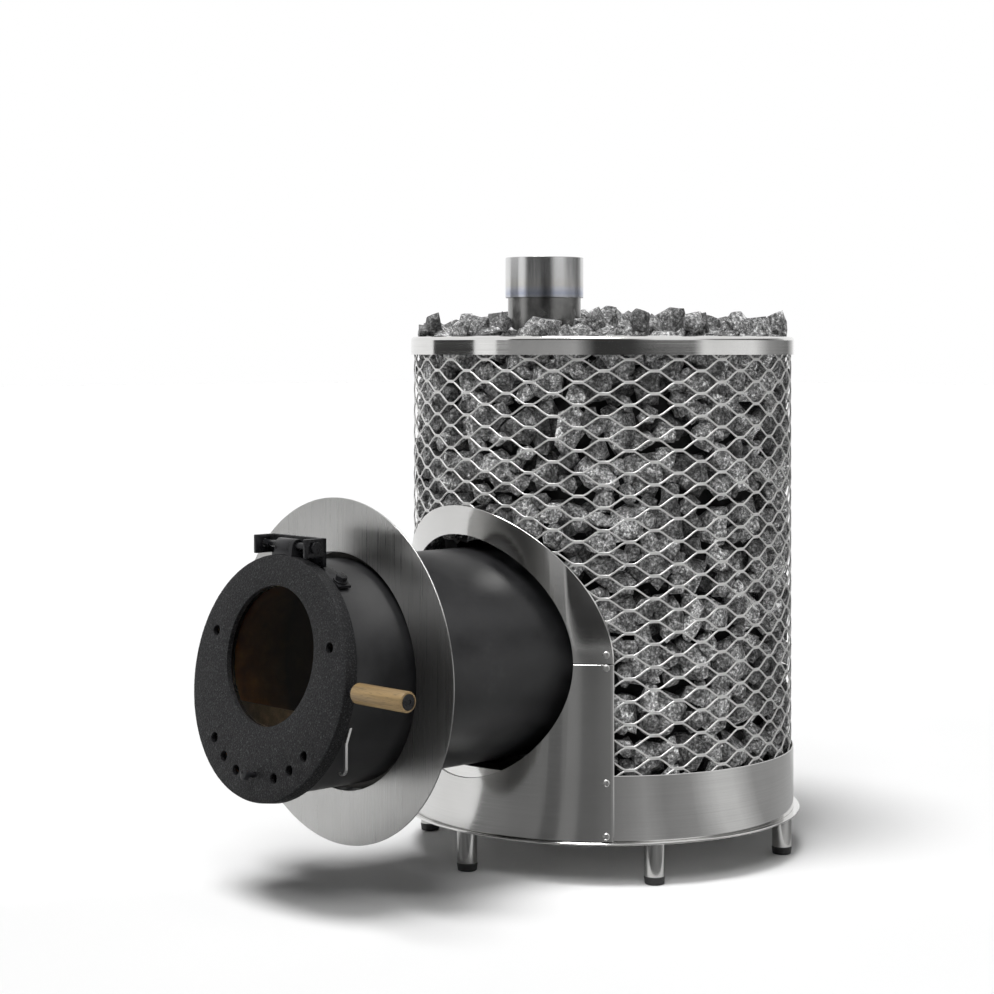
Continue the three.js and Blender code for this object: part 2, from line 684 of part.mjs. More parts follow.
// Makes a sheet a closed body: each side that has a triangle on one hand only is joined to an apex on the
// axis, at the height that belongs to the side's own height
function closeSheet(positions, triangles, apexFor) {
  const sides = new Map();
  for (let i = 0; i < triangles.length; i += 3) {
    const corners = triangles.slice(i, i + 3);
    corners.forEach((from, j) => {
      const to = corners[(j + 1) % 3];
      sides.set(`${from} ${to}`, [from, to]);
    });
  }
  const apexes = {};
  for (const [from, to] of sides.values()) {
    if (sides.has(`${to} ${from}`)) continue;
    const height = apexFor(positions[3 * from + 2]);
    if (!(height in apexes)) apexes[height] = positions.push(0, 0, height) / 3 - 1;
    triangles.push(to, from, apexes[height]);
  }
}

// Courses of stones against the mesh, up to a radius
function stoneWall(radius, bottom, top) {
  const columns = Math.round((2 * Math.PI * radius) / stonePitch);
  const rows = Math.round((top - bottom) / coursePitch);
  const step = (top - bottom) / rows;
  const place = (across, along, relief) => {
    const angle = (across * 2 * Math.PI) / columns;
    const reach = radius - (1 - relief) * stoneRelief;
    return [reach * Math.cos(angle), reach * Math.sin(angle), bottom + along * step];
  };
  return stoneSheet(columns, rows, true, place, (z) => (z < (bottom + top) / 2 ? bottom : top));
}

// The heap over the rim, within a radius
function stoneHeap(radius) {
  const rows = 2 * Math.ceil(radius / heapPitch) + 1;
  const step = heapPitch * Math.sin(Math.PI / 3);
  const place = (across, along, relief) => {
    const x = (across - rows / 2) * heapPitch;
    const y = (along - rows / 2) * step;
    const share = Math.min(Math.hypot(x, y) / radius, 1);
    const top = rimTop + stoneCrown - (stoneCrown - stoneShoulder) * share ** 2;
    return [x, y, top - (1 - relief) * stoneRelief];
  };
  const bottom = rimTop - heapDepth;
  const withinRim = uprightRing(0, radius, bottom, beyond, flueFacets);
  return stoneSheet(rows, rows, false, place, () => bottom).intersect(solid(withinRim));
}

// All stones as one body: wall, heap and the closed bed that stands on the base plate behind the band
function stoneFill() {
  const strandChord = Math.cos(Math.PI / (2 * meshColumns));
  const rimBore = (cageRadius + rimOverhang - rimChamfer - rimThickness) * cageFlat;
  const radius = Math.min((meshRadius - strandDepth) * strandChord, rimBore) - seatGap;
  const wallTop = rimTop - stoneRelief;
  const wall = stoneWall(radius, bandTop - meshTuck, wallTop);
  const bed = uprightRing(0, radius - 2 * stoneRelief, baseTop + seatGap, wallTop - stoneRelief, flueFacets);
  return solid(bed).add(wall).add(stoneHeap(radius));
}

// The stones, parted round the tunnel and the flue
function makeStones() {
  const stones = stoneFill();
  const beside = tunnelRadius + tunnelStoneGap;
  const split = axisHeight + tunnelRadius + stoneSplitAbove;
  const half = seatGap / 2;
  const flueSide = flueRadius + seatGap;
  const flueFront = -flueOffset - flueSide;
  const flueBack = -flueOffset + flueSide;
  const beds = {
    stones_right: [[beside, -beyond, 0], [beyond, beyond, split - half]],
    stones_left: [[-beyond, -beyond, 0], [-beside, beyond, split - half]],
    stones_rear: [[-beside + seatGap, fireboxDepth + seatGap, 0], [beside - seatGap, beyond, split - half]],
    stones_top_front: [[-beyond, -beyond, split + half], [beyond, flueFront, beyond]],
    stones_top_back: [[-beyond, flueBack, split + half], [beyond, beyond, beyond]],
    stones_top_right: [[flueSide, flueFront + seatGap, split + half], [beyond, flueBack - seatGap, beyond]],
    stones_top_left: [[-beyond, flueFront + seatGap, split + half], [-flueSide, flueBack - seatGap, beyond]],
  };
  for (const [name, [low, high]] of Object.entries(beds)) {
    piece(stove, name, largest(stones.intersect(solid(box(low, high)))), stone);
  }
}

// Door frame: a flat face with a rim behind its edge, a window and the air holes
function makeDoorFrame(door) {
  const rimInner = doorRadius - doorRimWall;
  const pan = turned([
    [0, 0],
    [doorRadius - doorEdgeRound, 0],
    [doorRadius, doorEdgeRound],
    [doorRadius, doorRimDepth],
    [rimInner, doorRimDepth],
    [rimInner, doorPlate],
    [0, doorPlate],
  ], tunnelFacets);
  const through = (radius, x, z, facets) => bar(radius, -doorPlate, 2 * doorPlate, facets).translate(x, 0, z);
  const holes = [through(windowRadius, 0, windowRise, windowFacets)];
  const holeAt = (degrees) => {
    const angle = THREE.MathUtils.degToRad(degrees);
    const [x, z] = [airHoleCircle * Math.cos(angle), airHoleCircle * Math.sin(angle)];
    holes.push(through(airHoleRadius, x, z, holeFacets));
  };
  lowerHoleAngles.forEach((angle) => [-90 - angle, -90 + angle].forEach(holeAt));
  [upperHoleAngle, 180 - upperHoleAngle].forEach(holeAt);
  holes.push(through(knobStemRadius + seatGap, 0, -airHoleCircle, holeFacets));
  piece(door, 'door_frame', cut(solid(pan), ...holes), castBlack);
}

// Glass, its retainer ring and the rope gasket
function makeGlazing(door) {
  const glassRadius = windowRadius + glassLap;
  const glassFront = doorPlate + seatGap;
  const glassBack = glassFront + glassThickness;
  const raise = (geometry) => geometry.translate(0, 0, windowRise);
  const glass = raise(ring(0, glassRadius, glassFront, glassBack, windowFacets));
  piece(door, 'door_glass', solid(glass), smokedGlass);
  const lipFront = glassBack + seatGap;
  const retainer = turned([
    [windowRadius, lipFront],
    [glassRadius + seatGap, lipFront],
    [glassRadius + seatGap, glassFront],
    [retainerRadius, glassFront],
    [retainerRadius, lipFront + retainerThickness],
    [windowRadius, lipFront + retainerThickness],
  ], windowFacets);
  piece(door, 'glass_retainer', solid(raise(retainer)), blackSteel);
  const gasketFront = doorPlate + seatGap;
  const gasket = ring(gasketInner, gasketOuter, gasketFront, gasketFront + gasketDepth, tunnelFacets);
  piece(door, 'door_gasket', solid(gasket), rope);
}

// Hinge barrel on a tab that stands on the door's rim
function makeBarrel(door) {
  const along = (geometry) => geometry.rotateZ(Math.PI / 2).translate(0, pinDepth, pinHeight);
  const half = barrelLength / 2;
  const tab = box([-half, pinDepth - barrelRadius, 0], [half, pinDepth + barrelRadius, pinHeight]);
  const rim = bar(doorRadius + seatGap, -beyond, beyond, tunnelFacets);
  const hole = along(bar(pinRadius + seatGap, -beyond, beyond, rodFacets));
  const barrel = solid(along(bar(barrelRadius, -half, half, rodFacets))).add(solid(tab));
  piece(door, 'hinge_barrel', cut(barrel, rim, hole), hingeBlack);
}

// Wooden grip on a rod that stands out of the door's rim
function makeGrip(door) {
  const along = (geometry) => geometry.rotateZ(-Math.PI / 2).translate(0, doorRimDepth / 2, 0);
  const rodStart = doorRadius + seatGap;
  const gripStart = rodStart + gripStub;
  const gripEnd = gripStart + gripLength;
  piece(door, 'handle_rod', solid(along(bar(rodRadius, rodStart, gripEnd, rodFacets))), hingeBlack);
  const bore = rodRadius + seatGap;
  const grip = turned([
    [bore, gripStart],
    [gripRadius - gripRound, gripStart],
    [gripRadius, gripStart + gripRound],
    [gripRadius, gripEnd - gripRound],
    [gripRadius - gripRound, gripEnd],
    [bore, gripEnd],
  ], 2 * holeFacets);
  piece(door, 'handle_grip', solid(along(grip)), oak);
  const capStart = gripEnd + seatGap;
  const cap = new THREE.CylinderGeometry(capRadius - gripRound, capRadius, capThickness, 2 * holeFacets);
  cap.translate(0, capStart + capThickness / 2, 0);
  piece(door, 'handle_cap', solid(along(cap)), hingeBlack);
}

// Knob and valve plate: pulled out, the plate shuts the lower air holes
function makeAirValve(door) {
  const plateFront = doorPlate + valveOpening;
  const knob = turned([
    [0, -knobReach],
    [knobRadius - doorEdgeRound, -knobReach],
    [knobRadius, -knobReach + doorEdgeRound],
    [knobRadius, -knobReach + knobLength - doorEdgeRound],
    [knobStemRadius, -knobReach + knobLength],
    [knobStemRadius, plateFront - seatGap],
    [0, plateFront - seatGap],
  ], rodFacets);
  piece(door, 'air_knob', solid(knob.translate(0, 0, -airHoleCircle)), hingeBlack);
  const reach = airHoleRadius + valveLap;
  const from = THREE.MathUtils.degToRad(-90 - valveEndAngle);
  const to = THREE.MathUtils.degToRad(-90 + valveEndAngle);
  const shape = new THREE.Shape();
  shape.absarc(0, 0, airHoleCircle + reach, from, to, false);
  shape.absarc(0, 0, airHoleCircle - reach, to, from, true);
  const plate = frontPlate(shape, plateFront, plateFront + valveThickness, holeFacets);
  piece(door, 'air_valve_plate', solid(plate), blackSteel);
}

const door = new THREE.Group();
const doorRise = tunnelEndDepth * Math.sin(doorTilt); // centres the door on the tunnel's slanted end
door.position.set(0, -doorReach, axisHeight + doorRise);
door.rotation.x = -doorTilt;
door.updateMatrix();

makeBase();
makeBandAndRim();
makeMesh();
makeShield();
makeFirebox(door.matrix);
makeFlue();
makeFlange();
makeHinge(door.matrix);
makeHook();
makeStones();
makeDoorFrame(door);
makeGlazing(door);
makeBarrel(door);
makeGrip(door);
makeAirValve(door);
stove.add(door);

// The origin is on the floor, under the middle of the whole stove's box.
const bounds = new THREE.Box3().setFromObject(stove, true);
const middle = bounds.getCenter(new THREE.Vector3());
stove.position.set(-middle.x, -middle.y, -bounds.min.z);
const model = new THREE.Group();
model.add(stove);

export default model;
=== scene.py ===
import json
import math
import random

import bmesh
import bpy
from mathutils import Euler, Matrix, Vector, noise


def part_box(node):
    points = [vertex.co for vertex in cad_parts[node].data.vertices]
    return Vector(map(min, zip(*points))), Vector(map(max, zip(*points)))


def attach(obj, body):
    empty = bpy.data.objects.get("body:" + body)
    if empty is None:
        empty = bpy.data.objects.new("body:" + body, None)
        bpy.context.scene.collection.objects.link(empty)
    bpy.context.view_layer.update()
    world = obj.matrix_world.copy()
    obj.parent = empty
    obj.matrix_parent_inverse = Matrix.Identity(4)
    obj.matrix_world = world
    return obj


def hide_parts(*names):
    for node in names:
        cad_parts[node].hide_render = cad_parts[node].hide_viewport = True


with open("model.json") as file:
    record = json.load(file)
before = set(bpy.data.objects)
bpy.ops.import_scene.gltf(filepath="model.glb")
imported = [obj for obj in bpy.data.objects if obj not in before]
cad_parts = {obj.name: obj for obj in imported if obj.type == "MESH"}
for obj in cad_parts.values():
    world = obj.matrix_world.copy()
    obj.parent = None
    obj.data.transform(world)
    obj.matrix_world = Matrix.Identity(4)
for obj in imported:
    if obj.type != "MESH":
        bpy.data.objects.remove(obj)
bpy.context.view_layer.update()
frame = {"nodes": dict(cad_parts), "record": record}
nodes = frame["nodes"]

# Places taken from the solid model, in metres
band_low, band_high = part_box("lower_band")
rim_low, rim_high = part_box("top_rim")
mesh_low, mesh_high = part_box("mesh_panel_3")
tunnel_low, tunnel_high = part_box("fire_tunnel")
flue_low, flue_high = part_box("flue_pipe")
cage_y = (band_low.y + band_high.y) / 2
cage_radius = (band_high.x - band_low.x) / 2
mesh_outer = mesh_high.x
shield_half_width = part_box("shield_upper")[1].x
tunnel_radius = (tunnel_high.x - tunnel_low.x) / 2
tunnel_z = (tunnel_low.z + tunnel_high.z) / 2
flue_y = (flue_low.y + flue_high.y) / 2
flue_radius = (flue_high.x - flue_low.x) / 2

# Expanded metal
MESH_COLUMNS = 25
MESH_PANELS = 7
MESH_ROW_PITCH = 0.0330
MESH_TOP_ROW = 0.7610
MESH_TURN = 0.0098
MESH_EDGE_TUCK = 0.004
MESH_JOIN_REACH = 0.00005
BOND_LENGTH = 0.0136
BOND_HEIGHT = 0.0046
BOND_POINT = 0.0012
STRAND_DEPTH = 0.0020
STRAND_STEPS = 4
STRAND_BEND = 0.35
STRAND_ROUND = 0.0005
SHIELD_LAP = 0.040

# Stones: courses against the mesh and a heap above the rim, in the cells of the solid stone beds
STONE_SEED = 11
STONE_RADIUS = 0.2922
STONE_PITCH = 0.080
STONE_JITTER = 0.36
STONE_ZIGZAG = 1 / 6
STONE_REACH = 0.2952
STONE_PRESS = 0.0025
STONE_RELIEF = 0.034
STONE_DEPTH = 0.030
STONE_CLEARANCE = 0.030
COURSE_PITCH = 0.069
COURSE_TUCK = 0.014
MAIN_HALF_SIZE = (0.041, 0.051)
CHIP_HALF_SIZE = (0.019, 0.031)
MAIN_RECESS = (0.0, 0.005)
CHIP_RECESS = (0.0, 0.007)
SECOND_CHIP_RECESS = (0.0, 0.008)
DEEP_SET_BACK = 0.028
HEAP_PITCH = 0.078
HEAP_CROWN = 0.042
HEAP_SHOULDER = 0.014
HEAP_EDGE = 0.012
HEAP_FLUE_SHARE = 0.75
HEAP_SINK = (-0.009, 0.002)
HEAP_CHIP_SINK = (0.010, 0.022)
BELOW_SINK = 0.036
BELOW_SHIFT = (0.5, 0.3)
RIM_STONES = 26
RIM_STONE_DROP = (0.0, 0.012)
FLUE_STONES = 9
FLUE_STONE_HALF_SIZE = (0.032, 0.042)
FLUE_STONE_DROP = (0.010, 0.026)

# Brightness of stones, as ranges
WALL_TONE = (0.35, 1.8)
WALL_CHIP_TONE = (0.35, 1.6)
# Stones set back in the wall are darkened: painted shade in the gaps between the stones
BACK_PAINTED_SHADE_TONE = (0.15, 0.4)
HEAP_TONE = (0.4, 1.6)
HEAP_CHIP_TONE = (0.65, 1.3)
RING_TONE = (0.45, 1.5)
# Stones lower in the heap take this share of the tone: painted shade under the top stones
BELOW_PAINTED_SHADE_SHARE = 0.6

# One stone, in half sizes
ROCK_KINDS = 24
ROCK_POINTS = (8, 12)
ROCK_SQUEEZE_Y = (0.74, 0.95)
ROCK_SQUEEZE_Z = (0.58, 0.8)
ROCK_SWAY = (-0.5, 0.5)
ROCK_REACH = (0.76, 1.0)
ROCK_CUTS = 2
ROCK_SMOOTHING = 0.06
ROCK_GRAIN = 2.6
ROCK_ROUGHNESS = 0.045
ROCK_TURN = (0, 6.283)

# Painted shade: a near-black liner that stands in for shaded stones deep in the bed
LINER_RADIUS = 0.248
LINER_THICKNESS = 0.004
LINER_SECTORS = 72
LINER_LAYERS = 40
LINER_RINGS = 4
LINER_FOOT = 0.004
LINER_HEAD = 0.010
LINER_RIPPLE = 0.012
LINER_RIPPLES_ROUND = 4
LINER_RIPPLES_UP = 22
LINER_FLUE_GAP = 0.004
LINER_TUNNEL_GAP = 0.006

# Sheets and round pieces
ROUND_STEPS = 192
ROD_STEPS = 48
GRIP_STEPS = 64
TINY = 0.000001
WELD_REACH = 0.00001
SMOOTH_BELOW = math.radians(32)
ROUND_ABOVE = math.radians(40)
EDGE_EASE = 0.0006
FINE_ROUND = 0.0004
CAST_ROUND = 0.0012
CORNER_SHARE = 0.3
BEYOND = 1.0
SHEET = 0.002
SEAT_GAP = 0.0003
RIM_ROUND = 0.006
RIM_ROUND_STEPS = 8
RIM_SHEET = 0.0016
LEG_COUNT = 6
FOOT_TAPER = 0.0016
SHIELD_HOLE_GAP = 0.021
SHIELD_HOLE_STEPS = 128
SHIELD_SEAM = 0.0004
ARCH_STEPS = 96
TUNNEL_WALL = 0.006
TUNNEL_SPARE = 0.1
# Depth over which the inside of the tunnel turns from painted firelight to soot and painted shade
AMBER_DEPTH = 0.16
FLUE_WALL = 0.002
FLUE_HOLE_STEPS = 96
COLLAR_WALL = 0.0037
FLANGE_GAP = 0.009
FLANGE_EASE = 0.0005

# Door, in its own frame: face at depth 0, middle of the disc at height 0
DOOR_TILT = math.radians(9)
DOOR_REACH = 0.658
DOOR_RADIUS = 0.170
DOOR_PLATE = 0.008
DOOR_RIM_DEPTH = 0.020
DOOR_RIM_WALL = 0.007
DOOR_EDGE = 0.0025
SEAT_DEPTH = 0.0186
WINDOW_RADIUS = 0.097
WINDOW_RISE = 0.030
GLASS_LAP = 0.010
GLASS_THICKNESS = 0.005
AIR_HOLE_RADIUS = 0.0076
AIR_HOLE_CIRCLE = 0.139
AIR_HOLE_ANGLES = (-137, -122.5, -108, -72, -57.5, -43, 22.5, 157.5)
STEM_HOLE_STEPS = 32
KNOB_DROP = 0.133
KNOB_RADIUS = 0.0075
KNOB_LENGTH = 0.009
KNOB_REACH = 0.020
KNOB_EDGE = 0.002
STEM_RADIUS = 0.004
STEM_END = 0.0157
GRIP_RADIUS = 0.014
GRIP_START = 0.1863
GRIP_LENGTH = 0.095
GRIP_ROUND = 0.0025
ROD_RADIUS = 0.005
ROD_START = 0.1703
CAP_RADIUS = 0.0105
CAP_THICKNESS = 0.008
CAP_EDGE = 0.0008
DIMPLE_RADIUS = 0.0042
DIMPLE_FLOOR_RADIUS = 0.0038
DIMPLE_DEPTH = 0.0012

# Hinge bracket and side hook
BRACKET_PLATE = 0.0055
EAR_BELOW = 0.014
PIN_HEAD_RADIUS = 0.009
PIN_HEAD_SIDES = 6
HOOK_WIDTH = 0.0045
HOOK_THICKNESS = 0.0025
HOOK_BEND = 0.0085
HOOK_WRAP = 0.75 * math.pi
HOOK_STEPS = 12
HOOK_RISE = 0.010
HOOK_LEAN = 0.008
HOOK_LEAN_LENGTH = 0.022

# Screws on the shield plates: the crown starts at a share of the height and ends at a share of the radius
SCREW_HEAD_RADIUS = 0.0052
SCREW_HEAD_HEIGHT = 0.0026
SCREW_CROWN_FOOT = 0.35
SCREW_CROWN_FLAT = 0.55
SCREW_RINGS = 4
SCREW_STEPS = 20
SCREW_INSET = 0.0065
SCREW_HEIGHTS = (0.335, 0.316, 0.150, 0.073)

# Camera of the photograph: level, with the picture shifted down
CAMERA_PLACE = (2.4501, -2.2929, 0.7737)
CAMERA_TURN = 47.2
CAMERA_LENS = 80.1
CAMERA_SENSOR = 36.0
CAMERA_SHIFT_Y = -0.147

# Studio: suns are a name, a strength, then azimuth, elevation and softness in degrees
SUNS = (("key_sun", 2.6, 8, 72, 24), ("fill_sun", 0.95, 40, 50, 24))
WHITE = (1, 1, 1, 1)
BLACK = (0, 0, 0, 1)
EVEN_LIGHT = 0.10
FLOOR_REACH = 40.0
FLOOR_DROP = 0.0005

# Screens and a floor card that only shiny surfaces show: stops of bearing from -Y, in degrees, and brightness
SCREEN_RADIUS = 5.0
SCREEN_FOOT = 0.02
SCREEN_SPLIT = 0.90
SCREEN_TOP = 2.6
SCREEN_STEP = 3.0
DOOR_SCREEN_HEIGHTS = (0.36, 1.1)
CARD_REACH = (0.36, 4.9)
CARD_HEIGHT = 0.001
LOW_SCREEN = (
    (-18, 0.30), (30, 0.46), (37, 0.14), (41, 0.02), (62, 0.02), (98, 0.12), (105, 0.90), (142, 1.00),
    (158, 0.34), (186, 0.16), (204, 0.90),
)
HIGH_SCREEN = (
    (-10, 0.03), (48, 0.02), (62, 0.06), (76, 1.00), (98, 1.00), (112, 0.24), (158, 0.08), (180, 0.60),
)
DOOR_SCREEN = ((-72, 0.02), (-34, 0.02))
FLOOR_CARD = (
    (-18, 0.10), (14, 0.12), (18, 0.02), (23, 0.02), (26, 0.14), (31, 0.13), (34, 0.02), (40, 0.03),
    (46, 0.08), (64, 0.22), (74, 0.13), (88, 0.20), (104, 0.58), (114, 0.58), (130, 0.26), (176, 0.30),
    (196, 0.60),
)


# Nodes and materials
class Nodes:
    """The nodes of a material or of the world, with short ways to add more."""

    def __init__(self, owner):
        owner.use_nodes = True
        self.owner = owner
        self.tree = owner.node_tree

    def connect(self, value, socket):
        """Links an output to an input, or sets the input to a plain value."""
        if isinstance(value, bpy.types.NodeSocket):
            self.tree.links.new(value, socket)
        else:
            socket.default_value = value

    def set_inputs(self, node, **values):
        """Connects inputs by their names, with _ for a space."""
        for key, value in values.items():
            self.connect(value, node.inputs[key.replace("_", " ")])

    def add(self, kind, output, *inputs, settings=None, **named):
        """Adds a node and gives one of its outputs; its inputs come in order or by name."""
        node = self.tree.nodes.new(f"ShaderNode{kind}")
        for key, value in (settings or {}).items():
            setattr(node, key, value)
        for value, socket in zip(inputs, node.inputs):
            self.connect(value, socket)
        self.set_inputs(node, **named)
        return node.outputs[output]

    def place(self, stretch=(1, 1, 1)):
        """The place on a piece, in metres times the stretch."""
        return self.add("Mapping", "Vector", Vector=self.add("TexCoord", "Object"), Scale=stretch)

    def noise(self, scale, detail, roughness=0.55, stretch=(1, 1, 1)):
        place = self.place(stretch)
        return self.add("TexNoise", "Fac", Vector=place, Scale=scale, Detail=detail, Roughness=roughness)

    def stored(self, name):
        """A value kept at the corners of a mesh."""
        return self.add("Attribute", "Color", settings={"attribute_name": name})

    def share(self, value, low, high):
        return self.add("MapRange", "Result", Value=value, From_Min=low, From_Max=high)

    def calculate(self, operation, first, second):
        return self.add("Math", "Value", first, second, settings={"operation": operation})

    def bump(self, height, strength, distance):
        return self.add("Bump", "Normal", Height=height, Strength=strength, Distance=distance)

    def ramp(self, value, *stops):
        """Greys or colours at stops of a value from 0 to 1."""
        node = self.tree.nodes.new("ShaderNodeValToRGB")
        self.connect(value, node.inputs["Fac"])
        elements = node.color_ramp.elements
        while len(elements) < len(stops):
            elements.new(0.5)
        for element, (position, level) in zip(elements, stops):
            element.position = position
            colour = level if isinstance(level, tuple) else (level, level, level)
            element.color = (*colour, 1.0)
        return node.outputs["Color"]

    def mix(self, factor, first, second, mode="MIX"):
        node = self.tree.nodes.new("ShaderNodeMix")
        node.data_type = "RGBA"
        node.blend_type = mode
        for number, value in ((0, factor), (6, first), (7, second)):
            self.connect(value, node.inputs[number])
        return node.outputs[2]

    def product(self, colour, *others):
        """Colours multiplied together."""
        for other in others:
            colour = self.mix(1.0, colour, other, "MULTIPLY")
        return colour

    def finish(self, colour, rough, **values):
        """Sets the surface and gives the material."""
        surface = self.tree.nodes["Principled BSDF"]
        self.set_inputs(surface, Base_Color=colour, Roughness=rough, **values)
        return self.owner


def new_look(name):
    return Nodes(bpy.data.materials.new(name))


def grained(name, grain, colours, rough, relief=None, **values):
    """A material of one grain of scale, detail and roughness; its relief is a strength and a depth."""
    look = new_look(name)
    value = look.noise(*grain)
    if isinstance(rough, tuple):
        rough = look.ramp(value, *rough)
    if relief:
        values["Normal"] = look.bump(value, *relief)
    return look.finish(look.ramp(value, *colours), rough, **values)


def brushed_stainless(name, stretch, light, dark, roughness=(0.22, 0.36), metallic=1.0, relief=0.05):
    """Stainless sheet with fine brush lines that run where the stretch is small."""
    look = new_look(name)
    lines = look.noise(1.0, 2.0, stretch=stretch)
    streaks = look.ramp(lines, (0.25, dark), (0.75, light))
    patches = look.ramp(look.noise(9.0, 3.0), (0.3, (0.90, 0.895, 0.88)), (0.7, (1.0, 0.995, 0.98)))
    rough = look.ramp(lines, (0.3, roughness[0]), (0.7, roughness[1]))
    normal = look.bump(lines, relief, 0.0003)
    return look.finish(look.product(streaks, patches), rough, Metallic=metallic, Normal=normal)


def heated_stainless():
    """Collar of the flue: brushed stainless with straw and blue heat tints near its lower edge."""
    look = new_look("stainless_heated")
    low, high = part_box("flue_collar")
    tint = look.ramp(
        look.share(look.add("SeparateXYZ", "Z", look.place()), low.z, high.z),
        (0.0, (0.56, 0.57, 0.60)), (0.10, (0.47, 0.50, 0.60)), (0.22, (0.62, 0.63, 0.68)),
        (0.32, (0.68, 0.67, 0.65)), (0.50, (0.70, 0.70, 0.70)),
    )
    lines = look.noise(1.0, 2.0, stretch=(900, 900, 14))
    streaks = look.ramp(lines, (0.25, 0.88), (0.75, 1.0))
    rough = look.ramp(lines, (0.3, 0.15), (0.7, 0.26))
    return look.finish(look.product(tint, streaks), rough, Metallic=1.0)


def satin_black(look, tones, roughness):
    """Satin black heat-proof paint with faint pale smudges: its colour, roughness and relief."""
    smudge = look.noise(14.0, 6.0, 0.65)
    shades = [(tone, tone, tone + 0.001) for tone in tones]
    paint = look.ramp(smudge, *zip((0.35, 0.62, 0.8), shades))
    rough = look.ramp(smudge, (0.3, roughness[0]), (0.7, roughness[1]))
    return paint, rough, look.bump(look.noise(900.0, 2.0), 0.08, 0.0004)


def black_sheet():
    """Painted sheet outside the fire."""
    look = new_look("black_sheet")
    paint, rough, relief = satin_black(look, (0.008, 0.014, 0.026), (0.22, 0.34))
    return look.finish(paint, rough, Normal=relief)


def tunnel_steel():
    """The fire tunnel: satin black paint outside; inside its wall, amber heat scale near the door with
    painted firelight, turning to soot and painted shade deeper in.
    """
    look = new_look("tunnel_steel")
    x, y, z = [look.add("SeparateXYZ", axis, look.place()) for axis in "XYZ"]
    across = look.add("CombineXYZ", "Vector", x, look.calculate("SUBTRACT", z, tunnel_z))
    distance = look.add("VectorMath", "Value", across, settings={"operation": "LENGTH"})
    inside = look.calculate("LESS_THAN", distance, tunnel_radius - TUNNEL_WALL / 2)
    scale = look.noise(40.0, 5.0, 0.65)
    # Inside near the door: amber heat scale, its bright orange partly painted firelight
    amber = look.ramp(
        scale, (0.3, (0.42, 0.16, 0.02)), (0.55, (0.60, 0.25, 0.035)), (0.75, (0.75, 0.36, 0.06))
    )
    # Deeper inside: soot, its near-black partly painted shade in the depth of the tunnel
    soot = look.ramp(
        scale, (0.3, (0.012, 0.008, 0.005)), (0.55, (0.022, 0.014, 0.008)), (0.75, (0.04, 0.024, 0.012))
    )
    depth = look.share(y, tunnel_low.y, tunnel_low.y + AMBER_DEPTH)
    scale_glow_and_shade = look.mix(look.ramp(depth, (0.0, 0.0), (0.45, 0.5), (1.0, 1.0)), amber, soot)
    paint, rough, relief = satin_black(look, (0.010, 0.019, 0.034), (0.30, 0.44))
    return look.finish(look.mix(inside, paint, scale_glow_and_shade), rough, Normal=relief)


def cast_door():
    """Charcoal cast iron with a sand-cast grain."""
    look = new_look("cast_door")
    grain = look.noise(430.0, 3.0, 0.65)
    tone = look.ramp(
        grain, (0.36, (0.005, 0.005, 0.006)), (0.56, (0.012, 0.012, 0.013)), (0.70, (0.060, 0.061, 0.063))
    )
    shade = look.ramp(look.noise(18.0, 4.0), (0.3, 0.75), (0.7, 1.0))
    rough = look.ramp(grain, (0.3, 0.62), (0.7, 0.42))
    relief = look.bump(grain, 0.85, 0.0014)
    return look.finish(look.product(tone, shade), rough, Normal=relief, Specular_IOR_Level=0.22)


def gloss_black():
    """Smooth gloss black of the hinge, bolts, knob and end cap."""
    colours = ((0.4, (0.006, 0.006, 0.007)), (0.75, (0.022, 0.022, 0.024)))
    rough = ((0.35, 0.22), (0.7, 0.38))
    return grained("gloss_black", (60.0, 5.0, 0.6), colours, rough, Specular_IOR_Level=0.25)


def fire_steel():
    """Scaled, sooty plates inside the firebox."""
    colours = ((0.3, (0.03, 0.028, 0.026)), (0.55, (0.075, 0.068, 0.06)), (0.75, (0.13, 0.115, 0.10)))
    return grained("fire_steel", (45.0, 6.0, 0.7), colours, 0.8, (0.3, 0.001))


def rope_fibre():
    """Grey braided rope of the seals."""
    look = new_look("rope_fibre")
    braid = look.add("TexWave", "Fac", Vector=look.place(), Scale=160.0, Distortion=2.0, Detail=2.0)
    colour = look.ramp(braid, (0.2, (0.06, 0.058, 0.054)), (0.8, (0.16, 0.155, 0.145)))
    return look.finish(colour, 0.92, Normal=look.bump(braid, 0.5, 0.001))


def oiled_oak():
    """Oak with its grain along X, darker pores and fine rays."""
    look = new_look("oiled_oak")
    fibres = look.noise(1.0, 5.0, 0.6, (9, 240, 240))
    rings = look.noise(1.0, 3.0, stretch=(2.5, 70, 70))
    pores = look.noise(1.0, 1.0, stretch=(60, 1500, 1500))
    base = look.ramp(
        rings, (0.3, (0.20, 0.125, 0.05)), (0.55, (0.30, 0.20, 0.085)), (0.8, (0.38, 0.265, 0.125))
    )
    lines = look.ramp(fibres, (0.32, 0.62), (0.62, 1.0))
    dots = look.ramp(pores, (0.30, 0.45), (0.42, 1.0))
    rough = look.ramp(fibres, (0.3, 0.56), (0.7, 0.42))
    return look.finish(look.product(base, lines, dots), rough, Normal=look.bump(fibres, 0.25, 0.0006))


def smoked_glass():
    """Clear ceramic glass with a faint amber tint and a haze of soot."""
    tints = ((0.3, (0.96, 0.84, 0.66)), (0.75, (0.90, 0.75, 0.54)))
    return grained("smoked_glass", (9.0, 2.0), tints, 0.0, Transmission_Weight=1.0, IOR=1.45)


def foot_rubber():
    """Black moulded feet."""
    colours = ((0.3, (0.008, 0.008, 0.008)), (0.7, (0.02, 0.02, 0.021)))
    return grained("foot_rubber", (700.0, 2.0), colours, 0.6, (0.1, 0.0003))


